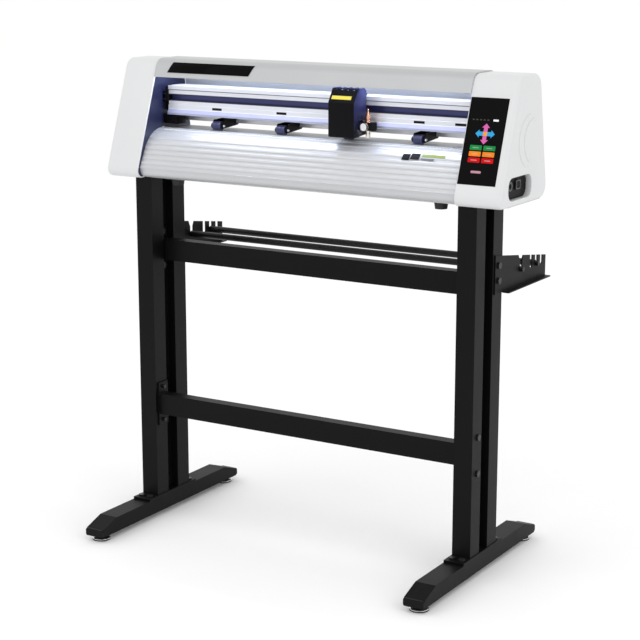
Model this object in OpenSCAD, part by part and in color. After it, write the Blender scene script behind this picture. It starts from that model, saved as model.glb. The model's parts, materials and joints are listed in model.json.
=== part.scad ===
// Vinyl cutting plotter on a floor stand: front faces -Y, +X is the viewer's right, floor at z = 0.

/* [Stand] */
// Distance between the outer faces of the two legs
leg_spread = 800; // [700:10:900]
// Width of a leg across X
leg_w = 40; // [34:1:46]
// Depth of a leg's front column
leg_front_d = 40; // [34:1:46]
// Depth of the recess between a leg's columns
leg_recess_d = 36; // [34:1:46]
// Depth of a leg's rear column
leg_rear_d = 42; // [36:1:48]
// Wall of the leg columns
leg_wall = 2; // [1.5:0.1:3]
// Thickness of the web that joins a leg's columns
web_t = 3; // [2:0.5:4]
// Height of the stand's top face, which carries the machine
stand_h = 750; // [600:10:850]
// Length of a foot in front of its leg
foot_front = 200; // [160:5:240]
// Length of a foot behind its leg
foot_rear = 191; // [160:5:230]
// Width of a foot
foot_w = 44; // [40:1:50]
// Height of a foot at its middle
foot_h = 32; // [26:1:40]
// Height of a foot at its ends
foot_end_h = 16; // [12:1:20]
// Length of the sloped top at each end of a foot
foot_slope = 46; // [35:1:60]
// Clearance under a foot's steel, which the levelling feet fill
foot_lift = 12; // [10:1:20]
// Wall of the foot's box section
foot_wall = 2; // [1.5:0.1:3]
// Radius of a levelling foot's pad
pad_r = 19; // [15:1:22]
// Radius of a levelling foot's threaded stem
stem_r = 5; // [4:0.5:6]
// Distance of a levelling foot from the end of its foot
pad_inset = 25; // [22:1:32]
// Height of the two cross beams' section
beam_h = 45; // [35:1:55]
// Thickness of the two cross beams' section
beam_t = 26; // [20:1:28]
// Height of the upper beam's centre
upper_beam_z = 590; // [520:5:610]
// Height of the lower beam's centre
lower_beam_z = 255; // [200:5:350]
// Reach of the roll brackets behind the legs
bracket_reach = 204; // [190:2:230]
// Sheet thickness of the roll brackets
bracket_t = 2.5; // [2:0.5:4]
// Height of the roll rods' axis
rod_z = 598; // [590:1:606]
// Radius of a roll rod's tube
rod_r = 7; // [6:0.5:8]
// Radius of a roll rod's end pins
rod_pin_r = 5; // [4:0.5:5]

/* [Machine body] */
// Overall width over the end covers
body_w = 920; // [880:10:1000]
// Width of the left end cover
left_cover_w = 82; // [70:1:100]
// Width of the right end cover, which holds the touch screen
right_cover_w = 98; // [98:1:120]
// Height of the end covers
body_h = 244; // [244:1:260]
// Lean of the front face, from vertical
front_lean = 19.6; // [18:0.1:21]
// Lean of the rear face, from vertical
rear_lean = 9.8; // [8:0.1:10.5]
// Depth of the end covers along the bottom
body_d = 220; // [218:1:240]
// Overhang of the end covers in front of the legs
body_front = 30; // [26:1:34]
// Wall of the moulded covers
cover_wall = 3; // [2:0.1:4]
// Thickness of the steel side plates and the base plate
plate_t = 2; // [1.5:0.1:3]
// Thickness of the aluminium top, rear and platen sections
skin_t = 3; // [2:0.1:3]
// Height of the top cover's front lip below the top of the end covers
top_lip = 36; // [30:1:40]
// Width of the touch screen
screen_w = 79; // [70:1:80]
// Height of the touch screen along the sloped front
screen_h = 168; // [150:1:170]
// Distance of the touch screen above the bottom edge, along the slope
screen_up = 46; // [40:1:50]

/* [Mechanism] */
// Height of the platen's top above the stand
platen_up = 100; // [98:1:102]
// Radius of the grit wheels
grit_r = 10; // [9:0.5:10]
// Radius of the feed shaft
shaft_r = 5; // [4:0.5:6]
// Radius of the pinch wheels
pinch_r = 9.5; // [8.5:0.5:9.5]
// Width of the pinch wheels
pinch_w = 20; // [16:1:22]
// Spacing of the four pinch wheels
pinch_pitch = 158; // [140:2:160]
// Position of the carriage's middle across the machine
carriage_x = 91.5; // [0:0.5:150]
// Width of the carriage cover
carriage_w = 59; // [54:1:64]
// Radius of the blade holder's body
holder_r = 6; // [5:0.5:6.5]
// Radius of the blade's shank
blade_r = 0.75; // [0.75:0.05:1.5]
// Teeth of the feed gear
gear_teeth = 40; // [36:4:44]
// Teeth of the feed motor's pinion
pinion_teeth = 12; // [10:2:14]

/* [Hidden] */
$fn = 48;
fit = 0.05;        // running clearance of a shaft in its bore, on the radius
gap = 0.3;         // clearance between parts that pass each other
eps = 0.01;

leg_d = leg_front_d + leg_recess_d + leg_rear_d;
// everything is drawn with y = 0 at the legs' front face, then centred on the overall depth
leg_y = (foot_front - leg_d - bracket_reach) / 2;
leg_x = leg_spread / 2 - leg_w / 2;
recess_y = leg_front_d + leg_recess_d / 2;
foot_top = foot_lift + foot_h;
base_t = 5;        // leg's welded base plate
cap_t = 4;         // leg's welded top plate
base_fwd = 32;     // base plate in front of the leg
base_back = 24;    // base plate behind the leg
end_plate_t = 3;   // beams' welded end plates
end_plate_h = beam_h + 50;
beam_bolt_up = beam_h / 2 + 14.5;
lower_beam_y = 11; // front face of the lower beam
bolt_r = 4;
bolt_hole_r = 4.2;
bolt_head_r = 6.5;
bolt_head_h = 3.5;

base_z = stand_h;
top_z = base_z + body_h;
side_l = -body_w / 2 + left_cover_w;    // left edge of the working opening
side_r = body_w / 2 - right_cover_w;    // right edge of the working opening
open_w = side_r - side_l;
corner_r = [16, 24, 26, 26];            // front bottom, front top, rear top, rear bottom
function front_line(z) = -body_front + (z - base_z) * tan(front_lean);
function rear_line(z) = -body_front + body_d - (z - base_z) * tan(rear_lean);

platen_z = base_z + platen_up;
nip_y = 72;                             // line where the media is gripped
table_y = 130;                          // rear end of the flat table
apron_a = [68, 70];                     // upper curve of the apron: y of its centre, radius
apron_b = [7, 20];                      // lower curve of the apron: y of its centre, radius
apron_az = platen_z - apron_a[1];
apron_bz = base_z + apron_b[1] + gap;
apron_dist = norm([apron_b[0] - apron_a[0], apron_bz - apron_az]);
apron_dir = atan2(apron_bz - apron_az, apron_b[0] - apron_a[0]);
apron_n = apron_dir - acos((apron_a[1] - apron_b[1]) / apron_dist);
rear_curve_r = 50;
rear_curve_y = 128;
strip_y = 52;                           // line where the blade cuts
strip_w = 8;
strip_t = 2;
strip_z = platen_z - 2.1;
strip_end = 18;                         // strip ends short of the side plates
rib_r = 1.1;
rib_pitch = 10;
rib_count = 8;

rail_y = 70;                            // front face of the carriage rail
rail_z = platen_z + 28;                 // bottom of the rail
rail_h = 61;
rail_l = side_l + 16;
rail_r = side_r - 16;
belt_z = rail_z + 36;
belt_y = 74;
belt_w = 6;
belt_t = 1.4;
pulley_r = 5;
pulley_l = side_l - 19;
pulley_x = side_r + 38;
motor_a = 42;                           // stepper motor's square face
motor_l = 40;

grit_z = platen_z + 0.3 - grit_r;
grit_w = 24;
grit_xs = [for (i = [-1.5:1:1.5]) i * pinch_pitch];
grit_all = concat(grit_xs, [2.08 * pinch_pitch]);
lift_y = 124;
lift_z = platen_z + 16;
lift_a = 8;                             // square of the lift shaft
pinch_z = platen_z + 0.6 + pinch_r;
pinch_pin_r = 2.5;
lever_y = 146;
lever_z = platen_z + 24;
lever_pin_r = 2.5;

gear_r = gear_teeth / 2;                // module 1
pinion_r = pinion_teeth / 2;
gear_x = side_r + plate_t + 3;
gear_t = 6;
pinion_y = nip_y + gear_r + pinion_r;

blade_y = strip_y;
blade_x = carriage_x + carriage_w / 2 + 13;
carriage_z = platen_z + 14;
carriage_h = 92;
cover_t = 2;
screw_r = 2;
plate_z = carriage_z + 9;               // the plate passes above the lifted pinch wheels
strip_back = blade_y + 6.2;             // back of the guide rod's lugs
carriage_front = 18;
arm_z = platen_z + 24;
arm_h = 16;
guide_x = carriage_x + carriage_w / 2 - 13;
guide_r = 3;
tip_z = strip_z + 6.1;

io_y = 8;
io_w = 104;
io_z = base_z + 12;
io_h = 44;
io_depth = 12;
io_panel_t = 2;
jack_y = 34;
switch_y = 70;
io_mid_z = base_z + 38;
jack_r = 3.2;
rocker_w = 13;
rocker_h = 8;
rocker_pin_r = 1.2;

screen_x = side_r + 2;
rear_split_z = base_z + 176;             // seam between the top cover and the rear cover
flange_z = platen_z + 31;               // rear cover's flange above the media path

// ---------- helpers ----------

module placed() translate([0, leg_y, 0]) children();

// a section drawn in the YZ plane, extruded along X from x0 to x1
module along_x(x0, x1) translate([x0, 0, 0]) rotate([90, 0, 90]) linear_extrude(x1 - x0) children();

// a section drawn in the XZ plane, extruded along Y from y0 to y1
module along_y(y0, y1) translate([0, y1, 0]) rotate([90, 0, 0]) linear_extrude(y1 - y0) children();

module box(x, y, z) translate([x[0], y[0], z[0]]) cube([x[1] - x[0], y[1] - y[0], z[1] - z[0]]);

module rod_x(r, x0, x1, y, z) translate([x0, y, z]) rotate([0, 90, 0]) cylinder(r = r, h = x1 - x0);

module rod_y(r, y0, y1, x, z) translate([x, y1, z]) rotate([90, 0, 0]) cylinder(r = r, h = y1 - y0);

module rod_z(r, z0, z1, x, y) translate([x, y, z0]) cylinder(r = r, h = z1 - z0);

module for_sides() for (s = [-1, 1]) translate([s * leg_x, 0, 0]) children();

// rectangle with round corners, made of squares and circles so that its arcs stay true
module round_rect(w, h, r) {
  translate([r, 0]) square([w - 2 * r, h]);
  translate([0, r]) square([w, h - 2 * r]);
  for (x = [r, w - r])
    for (y = [r, h - r])
      translate([x, y]) circle(r);
}

// outline of the machine's end covers in the YZ plane, drawn in by inset
module body_outline(inset) {
  zs = [base_z + corner_r[0], top_z - corner_r[1], top_z - corner_r[2], base_z + corner_r[3]];
  ys = [
    front_line(zs[0]) + corner_r[0] / cos(front_lean),
    front_line(zs[1]) + corner_r[1] / cos(front_lean),
    rear_line(zs[2]) - corner_r[2] / cos(rear_lean),
    rear_line(zs[3]) - corner_r[3] / cos(rear_lean)
  ];
  hull() for (i = [0:3]) translate([ys[i], zs[i]]) circle(corner_r[i] - inset);
}

// local frame on the sloped front: x as before, y inward, z up along the slope
module on_front() translate([0, -body_front, base_z]) rotate([-front_lean, 0, 0]) children();

// ---------- stand ----------

module foot_outline(inset) {
  y0 = -foot_front + cap_t;
  y1 = leg_d + foot_rear - cap_t;
  polygon([
    [y0, foot_lift + inset],
    [y0, foot_lift + foot_end_h - inset],
    [y0 + foot_slope, foot_top - inset],
    [y1 - foot_slope, foot_top - inset],
    [y1, foot_lift + foot_end_h - inset],
    [y1, foot_lift + inset]
  ]);
}

pad_ys = [-foot_front + pad_inset, leg_d + foot_rear - pad_inset];
nut_h = 8;

module foot(side) placed() color("#1b1b1d") translate([side * leg_x, 0, 0]) difference() {
  union() {
    difference() {
      along_x(-foot_w / 2, foot_w / 2) foot_outline(0);
      along_x(-foot_w / 2 + foot_wall, foot_w / 2 - foot_wall)
        intersection() {
          foot_outline(foot_wall);
          translate([-foot_front, 0]) square([foot_front + leg_d + foot_rear, foot_top]);
        }
    }
    for (y = pad_ys) rod_z(stem_r + 4, foot_lift, foot_lift + nut_h, 0, y);
  }
  for (y = pad_ys) rod_z(stem_r + fit, foot_lift - 1, foot_lift + nut_h + 1, 0, y);
  for (p = base_bolts()) rod_z(bolt_hole_r, foot_top - foot_wall - 1, foot_top + 1, p[0], p[1]);
}

function base_bolts() = [for (y = [-base_fwd / 2 - 1, leg_d + base_back / 2]) for (x = [-11, 11]) [x, y]];
function cap_bolts() = [[-11, recess_y], [11, recess_y], [12, leg_d + 17]];

// end caps close the feet's box section; their outer corners are round
module foot_end_caps() placed() color("#101011") for_sides() {
  for (end = [0, 1]) {
    y = end == 0 ? -foot_front : leg_d + foot_rear;
    inner = end == 0 ? y + cap_t : y - cap_t;
    along_y(min(y, inner), max(y, inner))
      translate([-foot_w / 2, foot_lift]) round_rect(foot_w, foot_end_h, 4);
    plug = foot_w - 2 * foot_wall - 2 * gap;
    plug_y = end == 0 ? [inner, inner + 8] : [inner - 8, inner];
    box([-plug / 2, plug / 2], plug_y,
      [foot_lift + foot_wall + gap, foot_lift + foot_end_h - foot_wall - gap]);
  }
}

// pad, swivel collar, hexagon and threaded stem
module leveling_foot(side, end) placed() color("#2a2a2c") translate([side * leg_x, pad_ys[end], 0]) {
  cylinder(r = pad_r, h = 3.5);
  translate([0, 0, 3.5]) cylinder(r = pad_r - 2, h = 2);
  translate([0, 0, 5.5]) cylinder(r = 9, h = 2);
  translate([0, 0, 7.5]) cylinder(r = 8, h = 4, $fn = 6);
  rod_z(stem_r, 7, foot_lift + nut_h + 3, 0, 0);
}

module leg_section() {
  translate([-leg_w / 2, 0]) difference() {
    square([leg_w, leg_front_d]);
    translate([leg_wall, leg_wall]) square([leg_w - 2 * leg_wall, leg_front_d - 2 * leg_wall]);
  }
  translate([-web_t / 2, leg_front_d]) square([web_t, leg_recess_d]);
  translate([-leg_w / 2, leg_front_d + leg_recess_d]) difference() {
    square([leg_w, leg_rear_d]);
    translate([leg_wall, leg_wall]) square([leg_w - 2 * leg_wall, leg_rear_d - 2 * leg_wall]);
  }
}

module leg(side) placed() color("#1b1b1d") translate([side * leg_x, 0, 0]) {
  inner = -side;
  difference() {
    union() {
      translate([0, 0, foot_top + base_t]) linear_extrude(stand_h - cap_t - foot_top - base_t) leg_section();
      translate([-foot_w / 2, -base_fwd, foot_top]) cube([foot_w, leg_d + base_fwd + base_back, base_t]);
      translate([-leg_w / 2, 0, stand_h - cap_t]) cube([leg_w, leg_d + 32, cap_t]);
      // small angle in the recess, on the inner side
      translate([inner > 0 ? web_t / 2 : -web_t / 2 - 3, leg_front_d, foot_top + base_t]) cube([3, leg_recess_d, 28]);
    }
    for (p = base_bolts()) rod_z(bolt_hole_r, foot_top - 1, foot_top + base_t + 1, p[0], p[1]);
    for (p = cap_bolts()) rod_z(bolt_hole_r, stand_h - cap_t - 1, stand_h + 1, p[0], p[1]);
    for (dz = [-beam_bolt_up, beam_bolt_up]) {
      rod_x(bolt_hole_r, -web_t, web_t, recess_y, upper_beam_z + dz);
      rod_x(bolt_hole_r, -leg_w / 2 - 1, leg_w / 2 + 1, lower_bolt_y, lower_beam_z + dz);
    }
    for (p = bracket_bolts)
      rod_x(bolt_hole_r, side > 0 ? leg_w / 2 - leg_wall - 1 : -leg_w / 2 - 1,
        side > 0 ? leg_w / 2 + 1 : -leg_w / 2 + leg_wall + 1, p[0], p[1]);
  }
}

lower_bolt_y = lower_beam_y + beam_t / 2;
bracket_bolts = [[leg_d - leg_rear_d / 2, rod_z + 24], [leg_d - leg_rear_d / 2, rod_z - 6]];

// cross beam: box section between two welded end plates
module beam(half, y, z) {
  difference() {
    box([-half + end_plate_t, half - end_plate_t], [y, y + beam_t], [z - beam_h / 2, z + beam_h / 2]);
    box([-half + end_plate_t - 1, half - end_plate_t + 1],
      [y + leg_wall, y + beam_t - leg_wall], [z - beam_h / 2 + leg_wall, z + beam_h / 2 - leg_wall]);
  }
  for (s = [-1, 1]) difference() {
    x = s > 0 ? [half - end_plate_t, half] : [-half, -half + end_plate_t];
    box(x, [y - 3, y + beam_t + 3], [z - end_plate_h / 2, z + end_plate_h / 2]);
    for (dz = [-beam_bolt_up, beam_bolt_up])
      rod_x(bolt_hole_r, x[0] - 1, x[1] + 1, y + beam_t / 2, z + dz);
  }
}

module upper_beam() placed() color("#1b1b1d") beam(leg_x - web_t / 2, recess_y - beam_t / 2, upper_beam_z);

module lower_beam() placed() color("#1b1b1d") beam(leg_x - leg_w / 2, lower_beam_y, lower_beam_z);

// button-head bolt through a stack: x_head is the head's seat, the shank runs to x_end
module bolt_x(x_head, x_end, y, z) {
  dir = x_end > x_head ? -1 : 1;
  rod_x(bolt_head_r, min(x_head, x_head + dir * bolt_head_h), max(x_head, x_head + dir * bolt_head_h), y, z);
  rod_x(bolt_r, min(x_head, x_end), max(x_head, x_end), y, z);
}

module stand_bolts() placed() color("#0e0e0f") {
  for_sides() {
    for (p = base_bolts()) {
      rod_z(bolt_head_r, foot_top + base_t, foot_top + base_t + bolt_head_h, p[0], p[1]);
      rod_z(bolt_r, foot_top - foot_wall - 8, foot_top + base_t, p[0], p[1]);
    }
    for (p = cap_bolts()) {
      rod_z(bolt_head_r, stand_h - cap_t - bolt_head_h, stand_h - cap_t, p[0], p[1]);
      rod_z(bolt_r, stand_h - cap_t, stand_h + plate_t + 6, p[0], p[1]);
    }
  }
  for (s = [-1, 1])
    for (dz = [-beam_bolt_up, beam_bolt_up]) {
      web_in = leg_x - web_t / 2 - end_plate_t;
      bolt_x(s * web_in, s * (leg_x + web_t / 2 + 5), recess_y, upper_beam_z + dz);
      bolt_x(s * leg_spread / 2, s * (leg_spread / 2 - leg_w - end_plate_t - 5), lower_bolt_y, lower_beam_z + dz);
    }
  for (s = [-1, 1])
    for (p = bracket_bolts)
      bolt_x(s * (leg_spread / 2 + bracket_t), s * (leg_spread / 2 - 8), p[0], p[1]);
}

// slots for the roll rods: y, height of the slot's lower centre, and half width
slot_r = rod_pin_r + 0.5;
rod_ys = [leg_d + 83, leg_d + 157];
free_ys = [leg_d + 132, leg_d + 182];
bracket_y = leg_d - 36;
bracket_end = leg_d + bracket_reach;
bracket_bottom = rod_z - 32;
bracket_flange = 12;
function bracket_top(y) = rod_z + 46 - (y - bracket_y) * 0.148;

// sheet bracket with one mouthed slot, three narrow slots and a bottom flange that points to +X
module roll_bracket(side) placed() color("#161617") {
  x0 = side > 0 ? leg_spread / 2 : -leg_spread / 2 - bracket_t;
  difference() {
    along_x(x0, x0 + bracket_t) difference() {
      polygon([
        [bracket_y, bracket_bottom], [bracket_y, bracket_top(bracket_y)],
        [bracket_end, bracket_top(bracket_end)], [bracket_end, bracket_bottom]
      ]);
      for (y = concat(rod_ys, free_ys)) {
        translate([y, rod_z]) circle(slot_r);
        translate([y - slot_r, rod_z]) square([2 * slot_r, 60]);
      }
      polygon([
        [rod_ys[0] - 14, bracket_top(rod_ys[0]) + 6], [rod_ys[0] + 14, bracket_top(rod_ys[0]) + 6],
        [rod_ys[0] + slot_r, bracket_top(rod_ys[0]) - 12], [rod_ys[0] - slot_r, bracket_top(rod_ys[0]) - 12]
      ]);
    }
    for (p = bracket_bolts) rod_x(bolt_hole_r, x0 - 1, x0 + bracket_t + 1, p[0], p[1]);
  }
  box([x0, x0 + bracket_t + bracket_flange], [leg_d + 3, bracket_end], [bracket_bottom - bracket_t, bracket_bottom]);
}

module roll_rod(y) placed() color("#141415") {
  rod_x(rod_r, -leg_spread / 2 + gap, leg_spread / 2 - gap, y, rod_z);
  rod_x(rod_pin_r, -leg_spread / 2 - bracket_t - 6, leg_spread / 2 + bracket_t + 6, y, rod_z);
}

// ---------- machine frame and covers ----------

// sheet base with a turned-up edge; bolts from the stand come through it
module base_plate() placed() color("#8a8d92") difference() {
  union() {
    box([side_l, side_r], base_ys, [base_z, base_z + plate_t]);
    box([-body_w / 2 + cover_wall + gap, body_w / 2 - cover_wall - gap], [base_ys[0], base_end_y],
      [base_z, base_z + plate_t]);
    for (x = board_xs) for (y = board_ys) rod_z(3, base_z + plate_t, board_z, x, y);
  }
  for (s = [-1, 1]) for (p = cap_bolts())
    rod_z(bolt_hole_r, base_z - 1, base_z + plate_t + 1, s * leg_x + p[0], p[1]);
}

base_ys = [14, -body_front + body_d - 8];
base_end_y = base_ys[1] - 22;            // its rear edge under the covers, short of their round corner
board_z = base_z + 16;
board_xs = [side_r + 10, side_r + 72];
board_ys = [26, 142];
foot_xs = [-310, 310];
foot_ys = [28, 150];
rubber_h = 14;

module rubber_feet() placed() color("#121212")
  for (x = foot_xs) for (y = foot_ys)
    translate([x, y, base_z - rubber_h]) cylinder(r1 = 12, r2 = 14, h = rubber_h);

// steel plate that closes the inner side of an end cover and carries the mechanism
module side_plate(x0, x1) difference() {
  along_x(x0, x1) intersection() {
    body_outline(cover_wall + gap);
    translate([-100, base_z + plate_t]) square([400, body_h]);
  }
  rod_x(bearing_r + fit, x0 - 1, x1 + 1, nip_y, grit_z);
  rod_x(4 + fit, x0 - 1, x1 + 1, lift_y, lift_z);
  box([x0 - 1, x1 + 1], [belt_y - 3, belt_y + belt_w + 3], [belt_z - pulley_r - 5, belt_z + pulley_r + 5]);
}

bearing_r = 11;
flange_y = [86, 89];

module left_side_plate() placed() color("#7f838a") {
  side_plate(side_l - plate_t, side_l);
  // flange and axle of the idler pulley
  box([pulley_l - 14, side_l - plate_t], flange_y, [belt_z - 18, belt_z + 18]);
  rod_y(3, belt_y - 2, flange_y[0], pulley_l, belt_z);
  // axle of the lift lever
  rod_x(lever_pin_r, side_l, side_l + 13, lever_y, lever_z);
}

module right_side_plate() placed() color("#7f838a") {
  side_plate(side_r, side_r + plate_t);
  difference() {
    box([side_r + plate_t, pulley_x + motor_a / 2], flange_y, [belt_z - motor_a / 2, belt_z + motor_a / 2]);
    rod_y(11.2, flange_y[0] - 1, flange_y[1] + 1, pulley_x, belt_z);
  }
}

module cover_shell(x0, x1, wall_x0, wall_x1) difference() {
  along_x(x0, x1) body_outline(0);
  along_x(wall_x0, wall_x1) body_outline(cover_wall);
  box([wall_x0, wall_x1], [base_ys[0] - gap, base_end_y + gap], [base_z - 1, base_z + cover_wall + 1]);
}

module left_end_cover() placed() color("#e9e9e8")
  cover_shell(-body_w / 2, side_l, -body_w / 2 + cover_wall, side_l + 1);

module io_outline(grow) translate([io_y - grow, io_z - grow])
  round_rect(io_w + 2 * grow, io_h + 2 * grow, 12 + grow);

// right cover: window for the touch screen, recess for the sockets
module right_end_cover() placed() color("#e9e9e8") {
  difference() {
    cover_shell(side_r, body_w / 2, side_r - 1, body_w / 2 - cover_wall);
    on_front() box([screen_x - gap, screen_x + screen_w + gap], [-5, cover_wall + 3],
      [screen_up - gap, screen_up + screen_h + gap]);
    along_x(body_w / 2 - cover_wall - 1, body_w / 2 + 1) io_outline(0);
  }
  along_x(body_w / 2 - io_depth, body_w / 2 - cover_wall) intersection() {
    difference() { io_outline(2); io_outline(0); }
    body_outline(cover_wall);
  }
}

// aluminium section across the top, a little proud of the end covers
module top_cover() placed() color("#b9babb") along_x(side_l, side_r) intersection() {
  difference() { body_outline(-2); body_outline(skin_t - 2); }
  union() {
    translate([-50, top_z - top_lip]) square([140, 60]);
    translate([89, rear_split_z]) square([140, 100]);
  }
}

// rear cover: sloped sheet below the top cover and a flange forward to the rail
module rear_cover() placed() color("#c4c5c7") {
  along_x(side_l, side_r) intersection() {
    difference() { body_outline(-2); body_outline(skin_t - 2); }
    translate([89, flange_z]) square([140, rear_split_z - flange_z]);
  }
  box([side_l, side_r], [rail_y + 46, rear_line(flange_z + 2) - 0.5], [flange_z, flange_z + 2]);
}

// ---------- platen ----------

// point on the apron's outline at angle a round the upper curve, and y at height z
apron_tangent_a = [apron_a[0] + apron_a[1] * cos(apron_n), apron_az + apron_a[1] * sin(apron_n)];
apron_tangent_b = [apron_b[0] + apron_b[1] * cos(apron_n), apron_bz + apron_b[1] * sin(apron_n)];
function apron_y(z) = z > apron_tangent_a[1]
  ? apron_a[0] - sqrt(pow(apron_a[1], 2) - pow(z - apron_az, 2))
  : apron_tangent_b[0] + (z - apron_tangent_b[1]) * (apron_tangent_a[0] - apron_tangent_b[0])
    / (apron_tangent_a[1] - apron_tangent_b[1]);

module apron_region(inset) intersection() {
  n = [cos(apron_n), sin(apron_n)];
  in = inset + 0.03;                    // the straight face cuts both arcs just inside them
  low = apron_bz - apron_b[1] + inset;
  union() {
    translate([apron_a[0], apron_az]) circle(apron_a[1] - inset, $fn = 128);
    translate([apron_b[0], apron_bz]) circle(apron_b[1] - inset, $fn = 64);
    polygon([
      [apron_a[0], apron_az],
      [apron_a[0] + (apron_a[1] - in) * n[0], apron_az + (apron_a[1] - in) * n[1]],
      [apron_b[0] + (apron_b[1] - in) * n[0], apron_bz + (apron_b[1] - in) * n[1]],
      [apron_b[0], apron_bz]
    ]);
    translate([apron_b[0], low]) square([table_y + 20 - apron_b[0], apron_az - low]);
    translate([apron_a[0], apron_az - 1]) square([table_y + 20 - apron_a[0], apron_a[1] - inset + 1]);
  }
  translate([-60, low]) square([300, 200]);
}

// table and ribbed apron in one aluminium section, with windows over the grit wheels
module front_platen() placed() color("#d4d6d8") difference() {
  along_x(side_l, side_r) {
    difference() {
      apron_region(0);
      apron_region(skin_t);
      translate([table_y, base_z - 20]) square([60, 160]);
      translate([base_ys[0] - gap, base_z - 1]) square([table_y, apron_b[1] + 5]);
    }
    for (i = [0:rib_count - 1]) {
      z = platen_z - 7 - i * rib_pitch;
      translate([apron_y(z) + 0.3, z]) circle(rib_r, $fn = 16);
    }
    // backing under the strip's groove, its top inside the skin
    polygon([
      [strip_y - 6, strip_z - strip_t - 4], [strip_y + 6, strip_z - strip_t - 4],
      [strip_y + 6, platen_z - skin_t + 0.4], [strip_y - 6, platen_z - skin_t - 1.8]
    ]);
  }
  box([side_l + strip_end - gap, side_r - strip_end + gap],
    [strip_y - strip_w / 2 - gap, strip_y + strip_w / 2 + gap], [strip_z - strip_t, platen_z + 1]);
  for (x = grit_all)
    box([x - grit_w / 2 - 2, x + grit_w / 2 + 2], [nip_y - grit_r - 1, nip_y + grit_r + 1],
      [platen_z - skin_t - 8, platen_z + 1]);
}

module rear_platen() placed() color("#d4d6d8") {
  rear_y = rear_curve_y + rear_curve_r;
  along_x(side_l, side_r) {
    intersection() {
      translate([rear_curve_y, platen_z - rear_curve_r]) difference() {
        circle(rear_curve_r, $fn = 96);
        circle(rear_curve_r - skin_t, $fn = 96);
      }
      translate([table_y, platen_z - rear_curve_r]) square([100, 100]);
    }
    translate([rear_y - skin_t, base_z + plate_t])
      square([skin_t, platen_z - rear_curve_r - base_z - plate_t]);
  }
}

module cutting_strip() placed() color("#f2f2ee")
  box([side_l + strip_end, side_r - strip_end], [strip_y - strip_w / 2, strip_y + strip_w / 2],
    [strip_z - strip_t, strip_z]);

// ---------- carriage rail and drive ----------

module rail_section() {
  difference() {
    translate([rail_y + 14, rail_z + 6]) square([32, rail_h - 6]);
    translate([rail_y + 17, rail_z + 9]) square([26, 20]);
    translate([rail_y + 17, rail_z + 32]) square([26, rail_h - 35]);
  }
  translate([rail_y, rail_z + 52.5]) square([15, rail_h - 52.5]);
  translate([rail_y + 1.5, rail_z + 43]) square([13.5, 8.5]);
  translate([rail_y + 3, rail_z + 51]) square([12, 2]);
  translate([rail_y + 2, rail_z + 20.5]) square([13, 8.5]);
  translate([rail_y, rail_z + 11.5]) square([15, 9]);
  polygon([
    [rail_y - 4, rail_z], [rail_y + 20, rail_z], [rail_y + 20, rail_z + 12],
    [rail_y, rail_z + 12], [rail_y - 4, rail_z + 4]
  ]);
}

module carriage_rail() placed() color("#d9dade") along_x(rail_l, rail_r) rail_section();

module rail_mounts() placed() color("#161618") {
  box([side_l, rail_l], [rail_y + 15, rail_y + 44], [rail_z + 8, rail_z + rail_h - 4]);
  box([rail_r, side_r], [rail_y + 15, rail_y + 44], [rail_z + 8, rail_z + rail_h - 4]);
}

module belt_outline(r) {
  for (x = [pulley_l, pulley_x]) translate([x, belt_z]) circle(r);
  translate([pulley_l, belt_z - r]) square([pulley_x - pulley_l, 2 * r]);
}

module drive_belt() placed() color("#141416") along_y(belt_y, belt_y + belt_w) difference() {
  belt_outline(pulley_r + gap + belt_t);
  belt_outline(pulley_r + gap);
}

// pulley with two flanges; its bore takes the axle
module pulley(x, bore) difference() {
  union() {
    rod_y(pulley_r, belt_y - 1, belt_y + belt_w + 1, x, belt_z);
    rod_y(pulley_r + 2, belt_y - 1.5, belt_y - gap, x, belt_z);
    rod_y(pulley_r + 2, belt_y + belt_w + gap, belt_y + belt_w + 1.5, x, belt_z);
  }
  rod_y(bore, belt_y - 3, belt_y + belt_w + 3, x, belt_z);
}

module belt_pulley() placed() color("#b8bcc2") {
  pulley(pulley_x, 2.4);
  rod_y(2.5, belt_y - 3, flange_y[1] + 8, pulley_x, belt_z);
}

module idler_pulley() placed() color("#b8bcc2") pulley(pulley_l, 3 + fit);

module carriage_motor() placed() color("#2c2d30") difference() {
  union() {
    box([pulley_x - motor_a / 2, pulley_x + motor_a / 2], [flange_y[1], flange_y[1] + motor_l],
      [belt_z - motor_a / 2, belt_z + motor_a / 2]);
    rod_y(11, flange_y[0] - 1.5, flange_y[1] + 1, pulley_x, belt_z);
  }
  rod_y(2.5 + fit, flange_y[0] - 3, flange_y[1] + 10, pulley_x, belt_z);
}

// ---------- carriage ----------

plate_y = 62;
plate_half = carriage_w / 2 - 6;

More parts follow.
